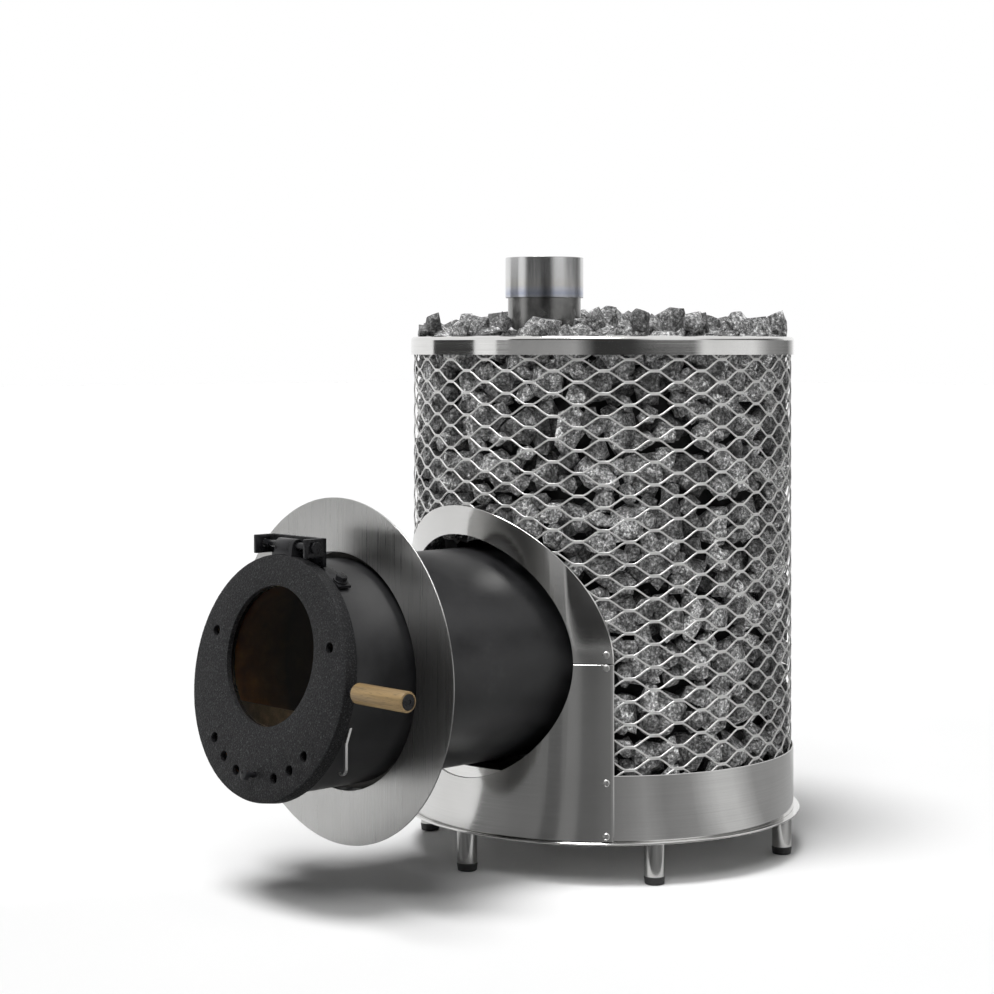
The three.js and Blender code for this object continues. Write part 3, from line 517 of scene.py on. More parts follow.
def speckled_stone():
    """Crushed grey heater stone: pepper and salt grain, and each stone its own tone."""
    look = new_look("speckled_stone")
    pepper = look.noise(210.0, 5.0, 0.78)
    speckle = look.ramp(pepper, (0.38, 0.04), (0.48, 0.17), (0.56, 0.40), (0.66, 0.95))
    cloud = look.ramp(look.noise(42.0, 5.0, 0.6), (0.38, 0.38), (0.62, 1.5))
    rough = look.ramp(pepper, (0.3, 0.85), (0.7, 0.62))
    colour = look.product(speckle, cloud, look.stored("tone"))
    return look.finish(colour, rough, Normal=look.bump(pepper, 0.7, 0.003))


def painted_shade_stone():
    """Painted shade: a near-black stand-in for stones too deep in the bed to catch the light."""
    return grained("painted_shade_stone", (60.0, 5.0), ((0.3, 0.004), (0.7, 0.02)), 0.95, (0.6, 0.004))


def pale_floor():
    """Plain pale studio floor."""
    return grained("pale_floor", (1.5, 2.0), ((0.2, 0.89), (0.8, 0.91)), 0.9)


def reflected_card():
    """Slightly clouded brightness of the screens and the card, by the level stored at their corners."""
    look = new_look("reflected_card")
    cloth = look.ramp(look.noise(3.0, 2.0), (0.3, 0.9), (0.7, 1.0))
    glow = look.product(cloth, look.stored("level"))
    return look.finish(BLACK, 0.5, Emission_Color=glow, Emission_Strength=1.0)


ROUND_LINES = (5, 5, 1100)
UPRIGHT_LINES = (1100, 1100, 5)
NO_LINES = (60, 60, 60)
looks = {
    "sheet": brushed_stainless("stainless_sheet", ROUND_LINES, 0.78, 0.70, (0.07, 0.13), 1.0, 0.01),
    "shield": brushed_stainless("stainless_shield", ROUND_LINES, 0.66, 0.60, (0.09, 0.16), 1.0, 0.01),
    "plate": brushed_stainless("stainless_plate", UPRIGHT_LINES, 0.50, 0.47, (0.26, 0.34)),
    "net": brushed_stainless("stainless_net", NO_LINES, 0.74, 0.62, (0.36, 0.48), 0.55),
    "leg": brushed_stainless("stainless_tube", UPRIGHT_LINES, 0.50, 0.44, (0.10, 0.18)),
    "collar": heated_stainless(),
    "hook": brushed_stainless("bare_strip", UPRIGHT_LINES, 0.85, 0.68),
    "pipe": brushed_stainless("blackened_pipe", NO_LINES, 0.30, 0.22, (0.18, 0.28)),
    "black": black_sheet(),
    "tunnel": tunnel_steel(),
    "cast": cast_door(),
    "gloss": gloss_black(),
    "fire": fire_steel(),
    "rope": rope_fibre(),
    "oak": oiled_oak(),
    "glass": smoked_glass(),
    "foot": foot_rubber(),
    "stone": speckled_stone(),
    # The painted shade material of the liner, also given to the solid stone beds
    "deep": painted_shade_stone(),
}
slot_looks = {
    "stainless": "sheet",
    "black_steel": "black",
    "cast_black": "cast",
    "hinge_black": "gloss",
    "bare_steel": "hook",
    "fire_steel": "fire",
    "rope": "rope",
    "oak": "oak",
    "smoked_glass": "glass",
    "foot_black": "foot",
    "stone": "deep",
}


def dress_frame():
    """Gives each solid its material, eased edges and smooth shading over its fine facets."""
    for part in frame["record"]["subparts"]:
        node = nodes[part["node"]]
        node.data.materials.clear()
        node.data.materials.append(looks[slot_looks[part["material_slot"]]])
        node.data.shade_smooth()
        weld = node.modifiers.new("weld", "WELD")
        weld.merge_threshold = WELD_REACH
        ease = node.modifiers.new("ease", "BEVEL")
        ease.width = EDGE_EASE
        ease.segments = 2
        ease.limit_method = "ANGLE"
        ease.angle_limit = SMOOTH_BELOW
        split = node.modifiers.new("split", "EDGE_SPLIT")
        split.split_angle = SMOOTH_BELOW
        split.use_edge_sharp = False


# Making and finishing pieces
def link_object(name, data):
    piece = bpy.data.objects.new(name, data)
    bpy.context.scene.collection.objects.link(piece)
    return piece


def mesh_object(name, vertices, faces):
    mesh = bpy.data.meshes.new(name)
    mesh.from_pydata([tuple(v) for v in vertices], [], faces)
    return link_object(name, mesh)


def drawn_object(name, bm):
    mesh = bpy.data.meshes.new(name)
    bm.to_mesh(mesh)
    bm.free()
    return link_object(name, mesh)


def shape_object(name, bm):
    """A closed shape, its doubled corners joined and its faces turned outwards."""
    bmesh.ops.remove_doubles(bm, verts=bm.verts, dist=TINY)
    bmesh.ops.recalc_face_normals(bm, faces=bm.faces)
    return drawn_object(name, bm)


def store_values(piece, name, values):
    layer = piece.data.attributes.new(name, "FLOAT", "POINT")
    layer.data.foreach_set("value", values)


def apply_modifiers(piece):
    graph = bpy.context.evaluated_depsgraph_get()
    mesh = bpy.data.meshes.new_from_object(piece.evaluated_get(graph))
    piece.modifiers.clear()
    piece.data = mesh


def thicken(piece, thickness, offset):
    modifier = piece.modifiers.new("thickness", "SOLIDIFY")
    modifier.thickness = thickness
    modifier.offset = offset
    apply_modifiers(piece)


def round_edges(piece, width, segments=1):
    modifier = piece.modifiers.new("edges", "BEVEL")
    modifier.width = width
    modifier.segments = segments
    modifier.limit_method = "ANGLE"
    modifier.angle_limit = ROUND_ABOVE
    apply_modifiers(piece)


def carve(piece, tool, operation="DIFFERENCE"):
    """Cuts a piece with a shape, which is then removed."""
    modifier = piece.modifiers.new("cut", "BOOLEAN")
    modifier.object = tool
    modifier.operation = operation
    modifier.solver = "EXACT"
    apply_modifiers(piece)
    bpy.data.objects.remove(tool)


def finish_piece(piece, look, slot, *replaced, body="stove"):
    """Gives a piece its material, shading and body, and hides the solids that it stands for; the slot is not
    used.
    """
    piece.data.materials.clear()
    piece.data.materials.append(looks[look])
    piece.data.shade_smooth()
    piece.data.set_sharp_from_angle(angle=SMOOTH_BELOW)
    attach(piece, body)
    if replaced:
        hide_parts(*replaced)


# Outlines of (radius, distance along the axis), and shapes made from them
def box_outline(inner, outer, low, high):
    return [(inner, low), (outer, low), (outer, high), (inner, high)]


def eased(outline, width=EDGE_EASE):
    """A closed outline with each corner off the axis cut back by the width."""
    result = []
    for number, here in enumerate(outline):
        if here[0] == 0:
            result.append(here)
            continue
        for other in (outline[number - 1], outline[(number + 1) % len(outline)]):
            share = min(width / math.dist(here, other), 0.4)
            result.append(tuple(a + share * (b - a) for a, b in zip(here, other)))
    return result


def rounded(radius, end, width):
    """Three points round an outer corner, from an end face to the side; the far end has a width below 0."""
    cut = abs(width)
    return [
        (radius - cut, end), (radius - CORNER_SHARE * cut, end + CORNER_SHARE * width), (radius, end + width)
    ]


def join_rings(bm, first, second):
    """Faces between two closed rings of as many corners."""
    for number in range(len(first)):
        after = (number + 1) % len(first)
        bm.faces.new([first[number], first[after], second[after], second[number]])


def turned(bm, outline, place, steps):
    """Turns a closed outline about its axis; place takes two distances across the axis and one along it."""
    angles = [2 * math.pi * step / steps for step in range(steps)]
    rings = []
    for radius, along in outline:
        rings.append([bm.verts.new(place(radius * math.cos(a), radius * math.sin(a), along)) for a in angles])
    for number, ring in enumerate(rings):
        after = (number + 1) % len(rings)
        if outline[number][0] or outline[after][0]:
            join_rings(bm, ring, rings[after])


def round_object(name, outline, place, steps=ROUND_STEPS):
    bm = bmesh.new()
    turned(bm, outline, place, steps)
    return shape_object(name, bm)


def prism_object(name, outline, ends, place):
    """A closed outline of corners between two ends; place takes a corner's two distances and an end."""
    bm = bmesh.new()
    first, second = [[bm.verts.new(place(*corner, end)) for corner in outline] for end in ends]
    bm.faces.new(first)
    bm.faces.new(second)
    join_rings(bm, first, second)
    return shape_object(name, bm)


# Places: two distances across an axis and one along it
def upright_at(x, y):
    return lambda across, along, height: Vector((x + across, y + along, height))


def on_tunnel(across, rise, depth):
    return Vector((across, depth, tunnel_z + rise))


def on_door(across, rise, depth):
    """A point of the door's own frame; the disc is tilted about its middle."""
    middle_z = tunnel_z + SEAT_DEPTH * math.sin(DOOR_TILT)
    y = depth * math.cos(DOOR_TILT) + rise * math.sin(DOOR_TILT)
    z = rise * math.cos(DOOR_TILT) - depth * math.sin(DOOR_TILT)
    return Vector((across, cage_y - DOOR_REACH + y, middle_z + z))


def on_door_at(side, up):
    return lambda across, rise, depth: on_door(side + across, up + rise, depth)


def on_handle(rise, depth, across):
    return on_door(across, rise, DOOR_RIM_DEPTH / 2 + depth)


# Sheets and tubes, finer than the solids
def make_cage_sheets():
    """Base plate, lower band and rolled top rim."""
    axis = upright_at(0, cage_y)
    low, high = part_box("base_plate")
    inner = cage_radius - SHEET
    outer = rim_high.x
    rim = [(inner, rim_low.z), (outer, rim_low.z), (outer, rim_high.z - RIM_ROUND - EDGE_EASE)]
    for step in range(RIM_ROUND_STEPS + 1):
        angle = math.pi / 2 * step / RIM_ROUND_STEPS
        radius = outer - RIM_ROUND * (1 - math.cos(angle))
        rim.append((radius, rim_high.z - RIM_ROUND * (1 - math.sin(angle))))
    rim.append((outer - RIM_ROUND - RIM_SHEET, rim_high.z - RIM_SHEET))
    rim.append((inner, rim_high.z - RIM_ROUND - RIM_SHEET))
    for name, outline in (
        ("base_plate", eased(box_outline(0, high.x, low.z, high.z))),
        ("lower_band", eased(box_outline(inner, cage_radius, band_low.z, band_high.z))),
        ("top_rim", rim),
    ):
        finish_piece(round_object(f"{name}_fine", outline, axis), "sheet", "stainless", name)


def make_legs():
    """Leg tubes and their feet, which narrow downwards."""
    for kind, look, slot, taper in (
        ("leg_tube", "leg", "stainless", 0.0), ("leg_foot", "foot", "foot_black", FOOT_TAPER)
    ):
        bm = bmesh.new()
        names = [f"{kind}_{number}" for number in range(1, LEG_COUNT + 1)]
        for name in names:
            low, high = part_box(name)
            place = upright_at((low.x + high.x) / 2, (low.y + high.y) / 2)
            radius = (high.x - low.x) / 2
            outline = [(0, low.z), (radius - taper, low.z), (radius, high.z), (0, high.z)]
            turned(bm, eased(outline), place, ROD_STEPS)
        finish_piece(shape_object(f"{kind}s_fine", bm), look, slot, *names)


def make_shields():
    """The two shield plates: sheets bent to the cage, cut to the arch and the tunnel's hole."""
    half = shield_half_width
    arch = [(-half, -tunnel_z), (half, -tunnel_z)]
    for step in range(ARCH_STEPS + 1):
        angle = math.pi * step / ARCH_STEPS
        arch.append((half * math.cos(angle), half * math.sin(angle)))
    inner = cage_radius + SEAT_GAP
    hole = box_outline(0, tunnel_radius + SHIELD_HOLE_GAP, -BEYOND, cage_y)
    for name, trim_low, trim_high in (("shield_lower", 0.0, SHIELD_SEAM), ("shield_upper", SHIELD_SEAM, 0.0)):
        low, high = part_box(name)
        outline = box_outline(inner, inner + SHEET, low.z + trim_low, high.z - trim_high)
        piece = round_object(f"{name}_fine", outline, upright_at(0, cage_y))
        carve(piece, prism_object("arch", arch, (-BEYOND, cage_y), on_tunnel), "INTERSECT")
        carve(piece, round_object("hole", hole, on_tunnel, SHIELD_HOLE_STEPS))
        round_edges(piece, FINE_ROUND)
        finish_piece(piece, "shield", "stainless", name)


def make_tunnel():
    """The fire tunnel: a tube with a slanted front end and a hole for the flue."""
    front = tunnel_low.y - TUNNEL_SPARE
    outline = box_outline(tunnel_radius - TUNNEL_WALL, tunnel_radius, front, tunnel_high.y)
    piece = round_object("fire_tunnel_fine", outline, on_tunnel)
    ahead = box_outline(-BEYOND, BEYOND, -BEYOND, BEYOND)
    carve(piece, prism_object("ahead", ahead, (SEAT_DEPTH - BEYOND, SEAT_DEPTH), on_door))
    hole = box_outline(0, flue_radius + SEAT_GAP, tunnel_z, BEYOND)
    carve(piece, round_object("hole", hole, upright_at(0, flue_y), FLUE_HOLE_STEPS))
    round_edges(piece, EDGE_EASE)
    finish_piece(piece, "tunnel", "black_steel", "fire_tunnel")


def make_flue():
    """Flue pipe and its collar."""
    for name, wall, look, slot in (
        ("flue_pipe", FLUE_WALL, "pipe", "black_steel"), ("flue_collar", COLLAR_WALL, "collar", "stainless")
    ):
        low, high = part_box(name)
        outline = eased(box_outline(high.x - wall, high.x, low.z, high.z))
        finish_piece(round_object(f"{name}_fine", outline, upright_at(0, flue_y)), look, slot, name)


def make_flange():
    """Wall flange with its short collar behind."""
    low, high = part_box("wall_flange")
    bore = tunnel_radius + FLANGE_GAP
    outline = [
        (bore, low.y), (high.x, low.y), (high.x, low.y + SHEET),
        (bore + SHEET, low.y + SHEET), (bore + SHEET, high.y), (bore, high.y),
    ]
    piece = round_object("wall_flange_fine", eased(outline, FLANGE_EASE), on_tunnel)
    finish_piece(piece, "plate", "stainless", "wall_flange")


# Door, hinge, hook and screws
def make_door_frame():
    """The cast disc with its rim, its window, the air holes and the hole for the knob's stem."""
    rim_inner = DOOR_RADIUS - DOOR_RIM_WALL
    outline = [
        (0, 0), *rounded(DOOR_RADIUS, 0, DOOR_EDGE), (DOOR_RADIUS, DOOR_RIM_DEPTH),
        (rim_inner, DOOR_RIM_DEPTH), (rim_inner, DOOR_PLATE), (0, DOOR_PLATE),
    ]
    door = round_object("door_frame_fine", outline, on_door)
    holes = [
        (0, WINDOW_RISE, WINDOW_RADIUS, ROUND_STEPS), (0, -KNOB_DROP, STEM_RADIUS + SEAT_GAP, STEM_HOLE_STEPS)
    ]
    for degrees in AIR_HOLE_ANGLES:
        angle = math.radians(degrees)
        x = AIR_HOLE_CIRCLE * math.cos(angle)
        holes.append((x, AIR_HOLE_CIRCLE * math.sin(angle), AIR_HOLE_RADIUS, ROD_STEPS))
    tools = bmesh.new()
    for x, z, radius, steps in holes:
        turned(tools, box_outline(0, radius, -DOOR_PLATE, 2 * DOOR_PLATE), on_door_at(x, z), steps)
    carve(door, shape_object("holes", tools))
    round_edges(door, CAST_ROUND, 3)
    finish_piece(door, "cast", "cast_black", "door_frame", body="door")


def make_glass():
    front = DOOR_PLATE + SEAT_GAP
    pane = box_outline(0, WINDOW_RADIUS + GLASS_LAP, front, front + GLASS_THICKNESS)
    glass = round_object("door_glass_fine", pane, on_door_at(0, WINDOW_RISE))
    finish_piece(glass, "glass", "smoked_glass", "door_glass", body="door")


def make_handle():
    """The wooden grip on its rod, with the end cap let in flush."""
    end = GRIP_START + GRIP_LENGTH + CAP_THICKNESS
    seat = end - CAP_THICKNESS / 2
    bore = ROD_RADIUS + SEAT_GAP
    recess = CAP_RADIUS + SEAT_GAP
    wood = [
        (bore, GRIP_START), *rounded(GRIP_RADIUS, GRIP_START, GRIP_ROUND),
        *reversed(rounded(GRIP_RADIUS, end, -GRIP_ROUND)), (recess, end), (recess, seat), (bore, seat),
    ]
    start = seat + SEAT_GAP
    stop = end + SEAT_GAP
    floor = stop - DIMPLE_DEPTH
    cap = [
        (0, start), (CAP_RADIUS, start), (CAP_RADIUS, stop - CAP_EDGE), (CAP_RADIUS - CAP_EDGE, stop),
        (DIMPLE_RADIUS, stop), (DIMPLE_FLOOR_RADIUS, floor), (0, floor),
    ]
    rod = box_outline(0, ROD_RADIUS, ROD_START, seat)
    for name, outline, steps, look, slot in (
        ("handle_grip", wood, GRIP_STEPS, "oak", "oak"),
        ("handle_rod", rod, ROD_STEPS, "gloss", "hinge_black"),
        ("handle_cap", cap, GRIP_STEPS, "gloss", "hinge_black"),
    ):
        finish_piece(round_object(f"{name}_fine", outline, on_handle, steps), look, slot, name, body="door")


def make_knob():
    """The air knob with its stem."""
    knob_end = KNOB_LENGTH - KNOB_REACH
    outline = [
        (0, -KNOB_REACH), *rounded(KNOB_RADIUS, -KNOB_REACH, KNOB_EDGE), (KNOB_RADIUS, knob_end - KNOB_EDGE),
        (STEM_RADIUS, knob_end), (STEM_RADIUS, STEM_END), (0, STEM_END),
    ]
    knob = round_object("air_knob_fine", outline, on_door_at(0, -KNOB_DROP), ROD_STEPS)
    finish_piece(knob, "gloss", "hinge_black", "air_knob", body="air_valve")


def make_hinge():
    """The U bracket on the saddle, with square ears, and the hinge pin with a hexagon head."""
    low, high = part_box("hinge_bracket")
    pin_low, pin_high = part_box("hinge_pin")
    pin_y = (pin_low.y + pin_high.y) / 2
    pin_z = (pin_low.z + pin_high.z) / 2
    pin_radius = (pin_high.z - pin_low.z) / 2
    inner = high.x - BRACKET_PLATE
    web_front = high.y - BRACKET_PLATE

    def on_pin(along, rise, across):
        return Vector((across, pin_y + along, pin_z + rise))

    channel = [
        (low.x, low.y), (-inner, low.y), (-inner, web_front), (inner, web_front),
        (inner, low.y), (high.x, low.y), (high.x, high.y), (low.x, high.y),
    ]
    bracket = prism_object("hinge_bracket_fine", channel, (low.z, high.z), upright_at(0, 0))
    under = box_outline(low.x - BEYOND, high.x + BEYOND, low.y - BEYOND, web_front)
    carve(bracket, prism_object("under", under, (low.z - BEYOND, pin_z - EAR_BELOW), upright_at(0, 0)))
    saddle_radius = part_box("hinge_saddle")[1].z - tunnel_z + SEAT_GAP
    saddle = box_outline(0, saddle_radius, low.y - BEYOND, high.y + BEYOND)
    carve(bracket, round_object("saddle", saddle, on_tunnel))
    bore = box_outline(0, pin_radius + SEAT_GAP, -BEYOND, BEYOND)
    carve(bracket, round_object("bore", bore, on_pin, ROD_STEPS))
    round_edges(bracket, CAST_ROUND, 2)
    finish_piece(bracket, "gloss", "hinge_black", "hinge_bracket")

    pin = round_object("hinge_pin_fine", eased(box_outline(0, pin_radius, low.x, high.x)), on_pin, ROD_STEPS)
    head = box_outline(0, PIN_HEAD_RADIUS, high.x + SEAT_GAP, pin_high.x)
    carve(pin, round_object("head", head, on_pin, PIN_HEAD_SIDES), "UNION")
    round_edges(pin, FINE_ROUND)
    finish_piece(pin, "gloss", "hinge_black", "hinge_pin")


def make_hook():
    """The narrow bright strip at the side of the tunnel: its top leans back, its foot curls inwards."""
    low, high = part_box("side_hook")
    strip_x = high.x - HOOK_THICKNESS / 2
    strip_y = (low.y + high.y) / 2
    top = high.z + HOOK_RISE
    path = [(strip_x, strip_y + HOOK_LEAN, top, 0.0), (strip_x, strip_y, top - HOOK_LEAN_LENGTH, 0.0)]
    for step in range(HOOK_STEPS + 1):
        turn = HOOK_WRAP * step / HOOK_STEPS
        x = strip_x - HOOK_BEND * (1 - math.cos(turn))
        path.append((x, strip_y, low.z + HOOK_BEND - HOOK_BEND * math.sin(turn), turn))
    bm = bmesh.new()
    rings = []
    for x, y, z, turn in path:
        ring = []
        for out, side in ((1, 1), (1, -1), (-1, -1), (-1, 1)):
            away = out * HOOK_THICKNESS / 2
            corner = (x + away * math.cos(turn), y + side * HOOK_WIDTH / 2, z - away * math.sin(turn))
            ring.append(bm.verts.new(corner))
        rings.append(ring)
    bm.faces.new(rings[0])
    bm.faces.new(rings[-1])
    for before, after in zip(rings, rings[1:]):
        join_rings(bm, before, after)
    piece = shape_object("side_hook_fine", bm)
    round_edges(piece, FINE_ROUND)
    finish_piece(piece, "hook", "bare_steel", "side_hook")


def shield_screws():
    """Pan-head screws along both upright edges of the shield plates."""
    profile = [(0, 0), (SCREW_HEAD_RADIUS, 0)]
    for ring in range(SCREW_RINGS):
        angle = ring / SCREW_RINGS * math.pi / 2
        across = SCREW_CROWN_FLAT + (1 - SCREW_CROWN_FLAT) * math.cos(angle)
        up = SCREW_CROWN_FOOT + (1 - SCREW_CROWN_FOOT) * math.sin(angle)
        profile.append((SCREW_HEAD_RADIUS * across, SCREW_HEAD_HEIGHT * up))
    profile.append((0, SCREW_HEAD_HEIGHT))
    surface = cage_radius + SEAT_GAP + SHEET
    heads = bmesh.new()
    for side in (-1, 1):
        angle = math.asin(side * (shield_half_width - SCREW_INSET) / surface)
        outward = Vector((math.sin(angle), -math.cos(angle), 0))
        turn = outward.to_track_quat("Z", "Y").to_matrix()
        for height in SCREW_HEIGHTS:
            seat = Vector((0, cage_y, height)) + surface * outward
            turned(heads, profile, lambda x, y, z: turn @ Vector((x, y, z)) + seat, SCREW_STEPS)
    finish_piece(shape_object("shield_screws", heads), "hook", "stainless")


# Expanded metal
def on_cage(distance_round, height, radius):
    """A point on the cage wall; the distance round it is measured at the mesh's outer radius from -Y."""
    angle = distance_round / mesh_outer
    return Vector((radius * math.sin(angle), cage_y - radius * math.cos(angle), height))


def behind_shield(distance_round, height):
    """Whether the mesh is left out here, behind the front shield and round the tunnel."""
    point = on_cage(distance_round, height, mesh_outer)
    above = max(height - tunnel_z, 0.0)
    return point.y <= cage_y and math.hypot(point.x, above) < shield_half_width - SHIELD_LAP


def bond_corner(centre, side, up):
    """A corner of a bond, as distances round the cage and up; the two at half height stand out as points."""
    reach = BOND_LENGTH / 2 + (0 if up else BOND_POINT)
    return (centre[0] + side * reach, centre[1] + up * BOND_HEIGHT / 2)


def strand_rows(first_pair, last_pair):
    """Pairs of edge points from one bond to the next, easing out of each bond."""
    rows = []
    for step in range(STRAND_STEPS + 1):
        share = step / STRAND_STEPS
        slow_ends = share * share * (3 - 2 * share)
        rise = share + STRAND_BEND * (slow_ends - share)
        row = []
        for start, end in zip(first_pair, last_pair):
            row.append((start[0] + (end[0] - start[0]) * share, start[1] + (end[1] - start[1]) * rise))
        rows.append(row)
    return rows


def make_mesh():
    """The expanded metal as one net: bonds in staggered rows, joined by slanting strands."""
    pitch = 2 * math.pi * mesh_outer / MESH_COLUMNS
    half_row = MESH_ROW_PITCH / 2
    top = MESH_TOP_ROW + half_row
    last = int((top - mesh_low.z - MESH_EDGE_TUCK) / half_row)
    net = bmesh.new()
    corners = {}

    def corner(place):
        key = (round(place[0], 6), round(place[1], 6))
        if key not in corners:
            corners[key] = net.verts.new(on_cage(place[0], place[1], mesh_outer - STRAND_DEPTH / 2))
        return corners[key]

    def centre(column, level):
        shift = 0.5 if (last - level) % 2 else 0.0
        return ((column + shift) * pitch + MESH_TURN, top - (last - level) * half_row)

    def kept(column, level):
        return 0 <= level <= last and not behind_shield(*centre(column, level))

    def face(places):
        net.faces.new([corner(place) for place in places])

    for level in range(last + 1):
        for column in range(MESH_COLUMNS):
            if not kept(column, level):
                continue
            here = centre(column, level)
            for low, high in ((0, 1), (-1, 0)):
                face([bond_corner(here, *end) for end in ((-1, low), (1, low), (1, high), (-1, high))])
            next_column = column + 1 if (last - level) % 2 else column
            for step, leaving, arriving in ((1, (0, 1), (-1, 0)), (-1, (-1, 0), (0, 1))):
                if not kept(next_column, level + step):
                    continue
                there = centre(next_column, level + step)
                starts = [bond_corner(here, 1, up) for up in leaving]
                rows = strand_rows(starts, [bond_corner(there, -1, up) for up in arriving])
                for before, after in zip(rows, rows[1:]):
                    face([before[0], after[0], after[1], before[1]])
    bmesh.ops.remove_doubles(net, verts=net.verts, dist=MESH_JOIN_REACH)
    piece = drawn_object("expanded_mesh", net)
    thicken(piece, STRAND_DEPTH, offset=0.0)
    round_edges(piece, STRAND_ROUND)
    panels = [f"mesh_panel_{number}" for number in range(1, MESH_PANELS + 1)]
    finish_piece(piece, "net", "stainless", *panels)


# Stones
def rock_shape(seed):
    """One angular stone, about one unit in half size: a hull of scattered points, cut finer and roughened."""
    draw = random.Random(seed)
    rock = bmesh.new()
    count = draw.randint(*ROCK_POINTS)
    squeeze = Vector((1.0, draw.uniform(*ROCK_SQUEEZE_Y), draw.uniform(*ROCK_SQUEEZE_Z)))
    golden = math.pi * (3 - math.sqrt(5))
    for number in range(count):
        z = 1 - 2 * (number + 0.5) / count
        across = math.sqrt(1 - z * z)
        turn = number * golden + draw.uniform(*ROCK_SWAY)
        direction = Vector((across * math.cos(turn), across * math.sin(turn), z))
        point = direction * draw.uniform(*ROCK_REACH)
        rock.verts.new((point.x * squeeze.x, point.y * squeeze.y, point.z * squeeze.z))
    hull = bmesh.ops.convex_hull(rock, input=rock.verts)
    spare = {g for g in hull["geom_interior"] + hull["geom_unused"] if isinstance(g, bmesh.types.BMVert)}
    bmesh.ops.delete(rock, geom=list(spare), context="VERTS")
    bmesh.ops.subdivide_edges(rock, edges=rock.edges[:], cuts=ROCK_CUTS, use_grid_fill=True)
    bmesh.ops.triangulate(rock, faces=rock.faces[:])
    bmesh.ops.smooth_vert(
        rock, verts=rock.verts[:], factor=ROCK_SMOOTHING, use_axis_x=True, use_axis_y=True, use_axis_z=True
    )
    rock.normal_update()
    shift = Vector((seed * 3.7, seed * 1.9, seed * 2.3))
    for vertex in rock.verts:
        rough = noise.fractal(vertex.co * ROCK_GRAIN + shift, 1.0, 2.0, 3)
        vertex.co += vertex.normal * rough * ROCK_ROUGHNESS
    vertices = [v.co.copy() for v in rock.verts]
    rock.verts.index_update()
    faces = [tuple(v.index for v in f.verts) for f in rock.faces]
    rock.free()
    return vertices, faces


class StoneBed:
    """Gathers placed stones into one mesh, each with its own tone."""

    def __init__(self, name):
        self.name = name
        self.vertices = []
        self.faces = []
        self.tones = []

    def add(self, points, faces, tone):
        start = len(self.vertices)
        self.vertices.extend(points)
        self.faces.extend(tuple(start + index for index in face) for face in faces)
        self.tones.extend([tone] * len(points))

    def build(self, *replaced):
        piece = mesh_object(self.name, self.vertices, self.faces)
        finish_piece(piece, "stone", "stone", *replaced)
        store_values(piece, "tone", self.tones)


def turned_rock(shapes, draw, half_sizes):
    """A stone of random kind, turn and size about the origin, with its faces."""
    vertices, faces = draw.choice(shapes)
    turn = Euler([draw.uniform(*ROCK_TURN) for axis in "xyz"]).to_matrix()
    size = draw.uniform(*half_sizes)
    return [turn @ v * size for v in vertices], faces


def chance(column, row, purpose):
    """A repeatable number from 0 to 1, the same as in the solid stone beds."""
    wave = math.sin(column * 12.9898 + row * 78.233 + purpose * 37.719) * 43758.5453
    return wave - math.floor(wave)


def edge_corner(half, row, half_columns):
    """A corner where stones meet, in columns and rows; the columns of a wall close on themselves."""
    column = half % half_columns if half_columns else half
    lift = -STONE_ZIGZAG if (half + row) % 2 == 0 else STONE_ZIGZAG
    across = half / 2 + STONE_JITTER * (chance(column, row, 1) - 0.5)
    along = row + lift + STONE_JITTER * (chance(column, row, 2) - 0.5)
    return Vector((across, along))


def stone_middle(column, row, half_columns):
    """The middle of a stone's six corners, in columns and rows."""
    half = 2 * column + row % 2
    corners = [edge_corner(half + step, row + up, half_columns) for up in (0, 1) for step in (-1, 0, 1)]
    return sum(corners, Vector((0, 0))) / len(corners)


def radius_from_cage(point):
    return math.hypot(point.x, point.y - cage_y)


def keep_inside(points, limit):
    """Moves a stone towards the cage axis until nothing of it is past the limit."""
    middle = sum(points, Vector()) / len(points)
    outward = Vector((middle.x, middle.y - cage_y, 0))
    if outward.length < TINY:
        return points
    outward.normalize()
    excess = max(radius_from_cage(p) for p in points) - limit
    return [p - outward * excess for p in points] if excess > 0 else points


def pressed(point, limit):
    """The point, or where it meets the limit from the cage axis when it lies beyond."""
    radius = radius_from_cage(point)
    if radius <= limit:
        return point
    share = limit / radius
    return Vector((point.x * share, cage_y + (point.y - cage_y) * share, point.z))


def near_tunnel(point, margin):
    across = math.hypot(point.x, point.z - tunnel_z)
    return across < tunnel_radius + margin and point.y < tunnel_high.y + margin


def near_flue(point, margin):
    return math.hypot(point.x, point.y - flue_y) < flue_radius + margin


def lay_on_wall(bed, rock, angle, z, reach, tone):
    """Puts a stone into the cage wall, its outermost part pressed flat at the given reach from the axis."""
    points, faces = rock
    outward = Vector((math.cos(angle), math.sin(angle), 0))
    middle = Vector((0, cage_y, z)) + outward * (reach - STONE_DEPTH)
    if near_tunnel(middle, STONE_CLEARANCE) or near_flue(middle, STONE_CLEARANCE):
        return
    placed = [p + middle for p in points]
    slack = reach + STONE_PRESS - max(radius_from_cage(p) for p in placed)
    bed.add([pressed(p + outward * slack, reach) for p in placed], faces, tone)


